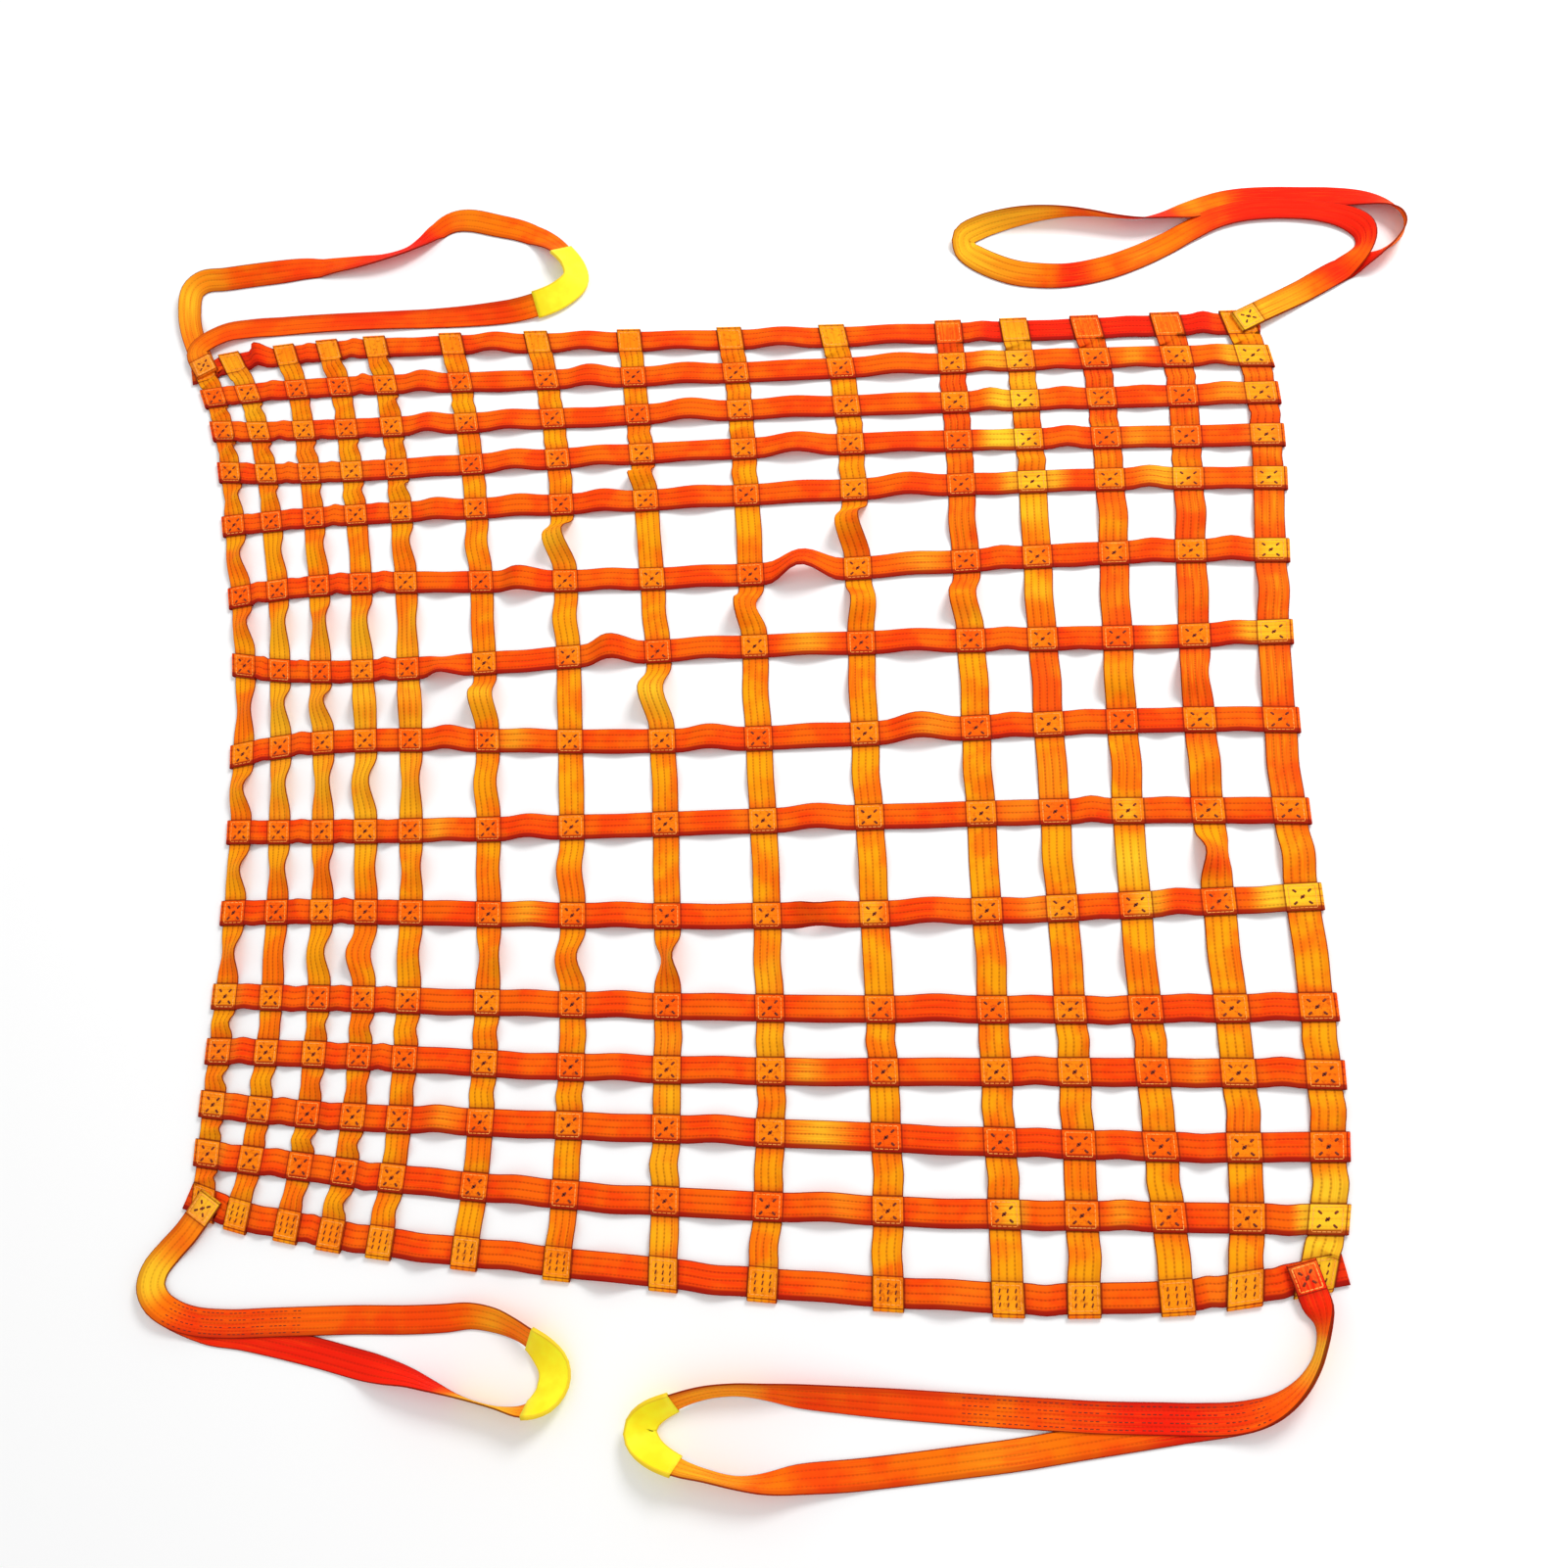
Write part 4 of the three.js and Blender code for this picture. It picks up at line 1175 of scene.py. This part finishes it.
# Stitches: their pitch in a row, and the length, width and height of each kind
STITCH_PITCH = 8.0
BOX_STITCH = (7.4, 1.5, 0.6)
ROOT_STITCH = (7.4, 2.4, 0.7)
CORNER_BAR = (8.5, 4.2, 0.8)
LONG_BAR = (11.0, 4.0, 0.8)
SHORT_BAR = (7.0, 3.4, 0.8)
FOLD_STITCH = (8.0, 2.6, 0.8)
SEAM_STITCH = (6.5, 1.6, 0.5)


# Many short stitches in one mesh, each a low rounded bar of four rings with four points each.
# Rings have a place along the bar, a share of its width and a limit to their height, all from its middle.
class Stitches:
    WIDTHS = (-1.0, -0.62, 0.62, 1.0)
    HEIGHTS = (-0.3, 1.0, 1.0, -0.3)
    STATIONS = ((-1.0, 0.45, -0.2), (-0.66, 1.0, 1.0), (0.66, 1.0, 1.0), (1.0, 0.45, -0.2))

    def __init__(self):
        self.points = []
        self.faces = []

    def add(self, middle, ahead, normal, size):
        length, width, height = size
        side = np.cross(normal, ahead)
        start = len(self.points)
        for place, share, rise in self.STATIONS:
            for across, up in zip(self.WIDTHS, self.HEIGHTS):
                self.points.append(
                    middle
                    + ahead * place * length / 2
                    + side * across * share * width / 2
                    + normal * (min(up, rise) * height)
                )
        for k in range(3):
            for e in range(4):
                a, b = start + 4 * k + e, start + 4 * k + (e + 1) % 4
                self.faces.append([a, a + 4, b + 4, b])
        self.faces.append([start, start + 1, start + 2, start + 3])
        self.faces.append([start + 15, start + 14, start + 13, start + 12])

    def row(self, start, end, size):
        reach = end - start
        count = max(1, round(np.linalg.norm(reach) / STITCH_PITCH))
        for k in range(count):
            self.add(start + reach * (k + 0.5) / count, unit(reach), UP, size)

    def make(self, name, material):
        blank = np.zeros((len(self.points), 3))
        thing = make_object(name, self.points, self.faces, blank, blank[:, 0], material)


# Sewn boxes: a pale outline with dark bars in it, or slanted dashes where straps fold round the near border.
# The dark bars and dashes are dark thread, partly painted shade of the stitch dimples and needle holes.
# Places in a box are shares of its half sides.
BOX_SHARE = 0.8
BAR_SHARE = 0.44
BOX_CORNERS = ((-1, -1), (1, -1), (1, 1), (-1, 1))
DASHES_ACROSS = (-0.5, 0.0, 0.5)
DASHES_ALONG = (-0.45, 0.0, 0.45)
DASH_SLANT = 0.3
pale, dark = Stitches(), Stitches()


# Pale outline of one sewn box, from its middle and its two half sides
def box_outline(centre, right, away, size):
    corners = [centre + right * a + away * b for a, b in BOX_CORNERS]
    for start, end in zip(corners, corners[1:] + corners[:1]):
        pale.row(start, end, size)


# Dark bars of one sewn box, dark thread with painted shade of the stitch dimples, from the same
def cross_bars(centre, right, away):
    for a, b in BOX_CORNERS:
        slant = right * a + away * b
        dark.add(centre + BAR_SHARE * slant, unit(slant), UP, CORNER_BAR)
    dark.add(centre, unit(right + away), UP, LONG_BAR)
    dark.add(centre, unit(right - away), UP, SHORT_BAR)


for column in range(STRAPS):
    for row in range(STRAPS):
        right, away = heading(ACROSS, column, row), heading(ALONG, column, row)
        stretch = 1.0 / np.cross(right, away)[2]
        right = right * stretch * strap_width(ALONG, column) / 2
        away = away * stretch * CROSSWISE_WIDTH / 2
        at_end = row in (0, LAST)
        level = level_at(ALONG, column, row) if at_end else level_at(ACROSS, row, column)
        centre = crossing(column, row) + UP * (level + THICKNESS)
        box_outline(centre, BOX_SHARE * right, BOX_SHARE * away, BOX_STITCH)
        if row == LAST:
            slant = unit(away + DASH_SLANT * right)
            for a in DASHES_ACROSS:
                for b in DASHES_ALONG:
                    dark.add(centre + right * a + away * b, slant, UP, FOLD_STITCH)
        elif row > 0:
            cross_bars(centre, right, away)

# Slings: a sewn box on each root, by its half side, and rows of stitches where two strands lie on each other,
# by the sling's rows between which they reach
ROOT_HALF = 19.0
SEAMS = (("sling_near_right", 6, 13), ("sling_near_left", 5, 9))
SEAM_ACROSS = (-18.0, -6.2, 6.2, 18.0)
SEAM_PITCH = 11.0


# Lays stitches that were set out flat, at one height, on the top of the strap below them
def settle(stitches, first, flat, sections):
    for k in range(first, len(stitches.points)):
        spot = stitches.points[k]
        s = min(sections, key=lambda made: np.linalg.norm((made["middle"] - spot)[:2]))
        top = s["middle"] + s["normal"] * THICKNESS / 2
        below = np.array([spot[0], spot[1], flat])
        stitches.points[k] = spot + UP * np.dot(s["normal"], top - below) / s["normal"][2]


for sling in SLINGS:
    rows = SLING_ROWS[sling["name"]]
    centre, away = sling_root(rows)
    away = away * ROOT_HALF
    right = np.cross(away, UP)
    first_pale, first_dark = len(pale.points), len(dark.points)
    box_outline(centre, right, away, ROOT_STITCH)
    cross_bars(centre, right, away)
    upper = 0 if sling["leaves"] else len(rows) - 2
    sections = sling_sections(rows, upper, upper + 1)
    settle(pale, first_pale, centre[2], sections)
    settle(dark, first_dark, centre[2], sections)
for name, first, last in SEAMS:
    sections = sling_sections(SLING_ROWS[name], first, last)
    along = lengths_along(np.array([s["middle"] for s in sections]))
    for place in np.arange(SEAM_PITCH, along[-1] - SEAM_PITCH, SEAM_PITCH):
        s = sections[np.searchsorted(along, place)]
        for across in SEAM_ACROSS:
            spot = s["middle"] + s["side"] * across + s["normal"] * THICKNESS / 2
            dark.add(spot, np.cross(s["side"], s["normal"]), s["normal"], SEAM_STITCH)
pale.make("box_stitches", THREAD_PALE)
dark.make("dark_stitches_and_dimple_shade", THREAD_DARK_AND_DIMPLE_SHADE)

# Floor
bpy.ops.mesh.primitive_plane_add(size=FLOOR_SIZE, location=(0, 0, -FLOOR_DROP))
floor = bpy.context.object
floor.name = "floor"
floor_colour = rgb(FLOOR_GREY, FLOOR_GREY, FLOOR_GREY)
floor.data.materials.append(Nodes("pale_floor").surface(floor_colour, FLOOR_ROUGH, FLOOR_SPECULAR))

# White surroundings, and a key light towards the middle of the net
world = bpy.data.worlds.new("studio")
bpy.context.scene.world = world
world.use_nodes = True
background = world.node_tree.nodes["Background"]
background.inputs["Color"].default_value = rgb(1.0, 1.0, 1.0)
background.inputs["Strength"].default_value = WORLD_LIGHT
lamp = bpy.data.lights.new("key", "AREA")
lamp.energy = KEY_WATTS
lamp.shape = "DISK"
lamp.size = KEY_SIZE
key = bpy.data.objects.new("key", lamp)
key.location = KEY_AT
key.rotation_euler = (-Vector(KEY_AT)).to_track_quat("-Z", "Y").to_euler()
bpy.context.scene.collection.objects.link(key)

# Camera
camera = bpy.data.objects.new("camera", bpy.data.cameras.new("camera"))
camera.data.sensor_width = SENSOR
camera.data.lens = SENSOR * FOCAL_PIXELS / FRAME_PIXELS
turn = Matrix.Rotation(math.radians(CAMERA_TURN), 4, "Z")
tilt = Matrix.Rotation(math.radians(CAMERA_TILT), 4, "X")
roll = Matrix.Rotation(math.radians(CAMERA_ROLL), 4, "Z")
camera.matrix_world = Matrix.Translation(CAMERA_AT) @ turn @ tilt @ roll
bpy.context.scene.collection.objects.link(camera)
bpy.context.scene.camera = camera
bpy.context.scene.view_settings.view_transform = "Standard"
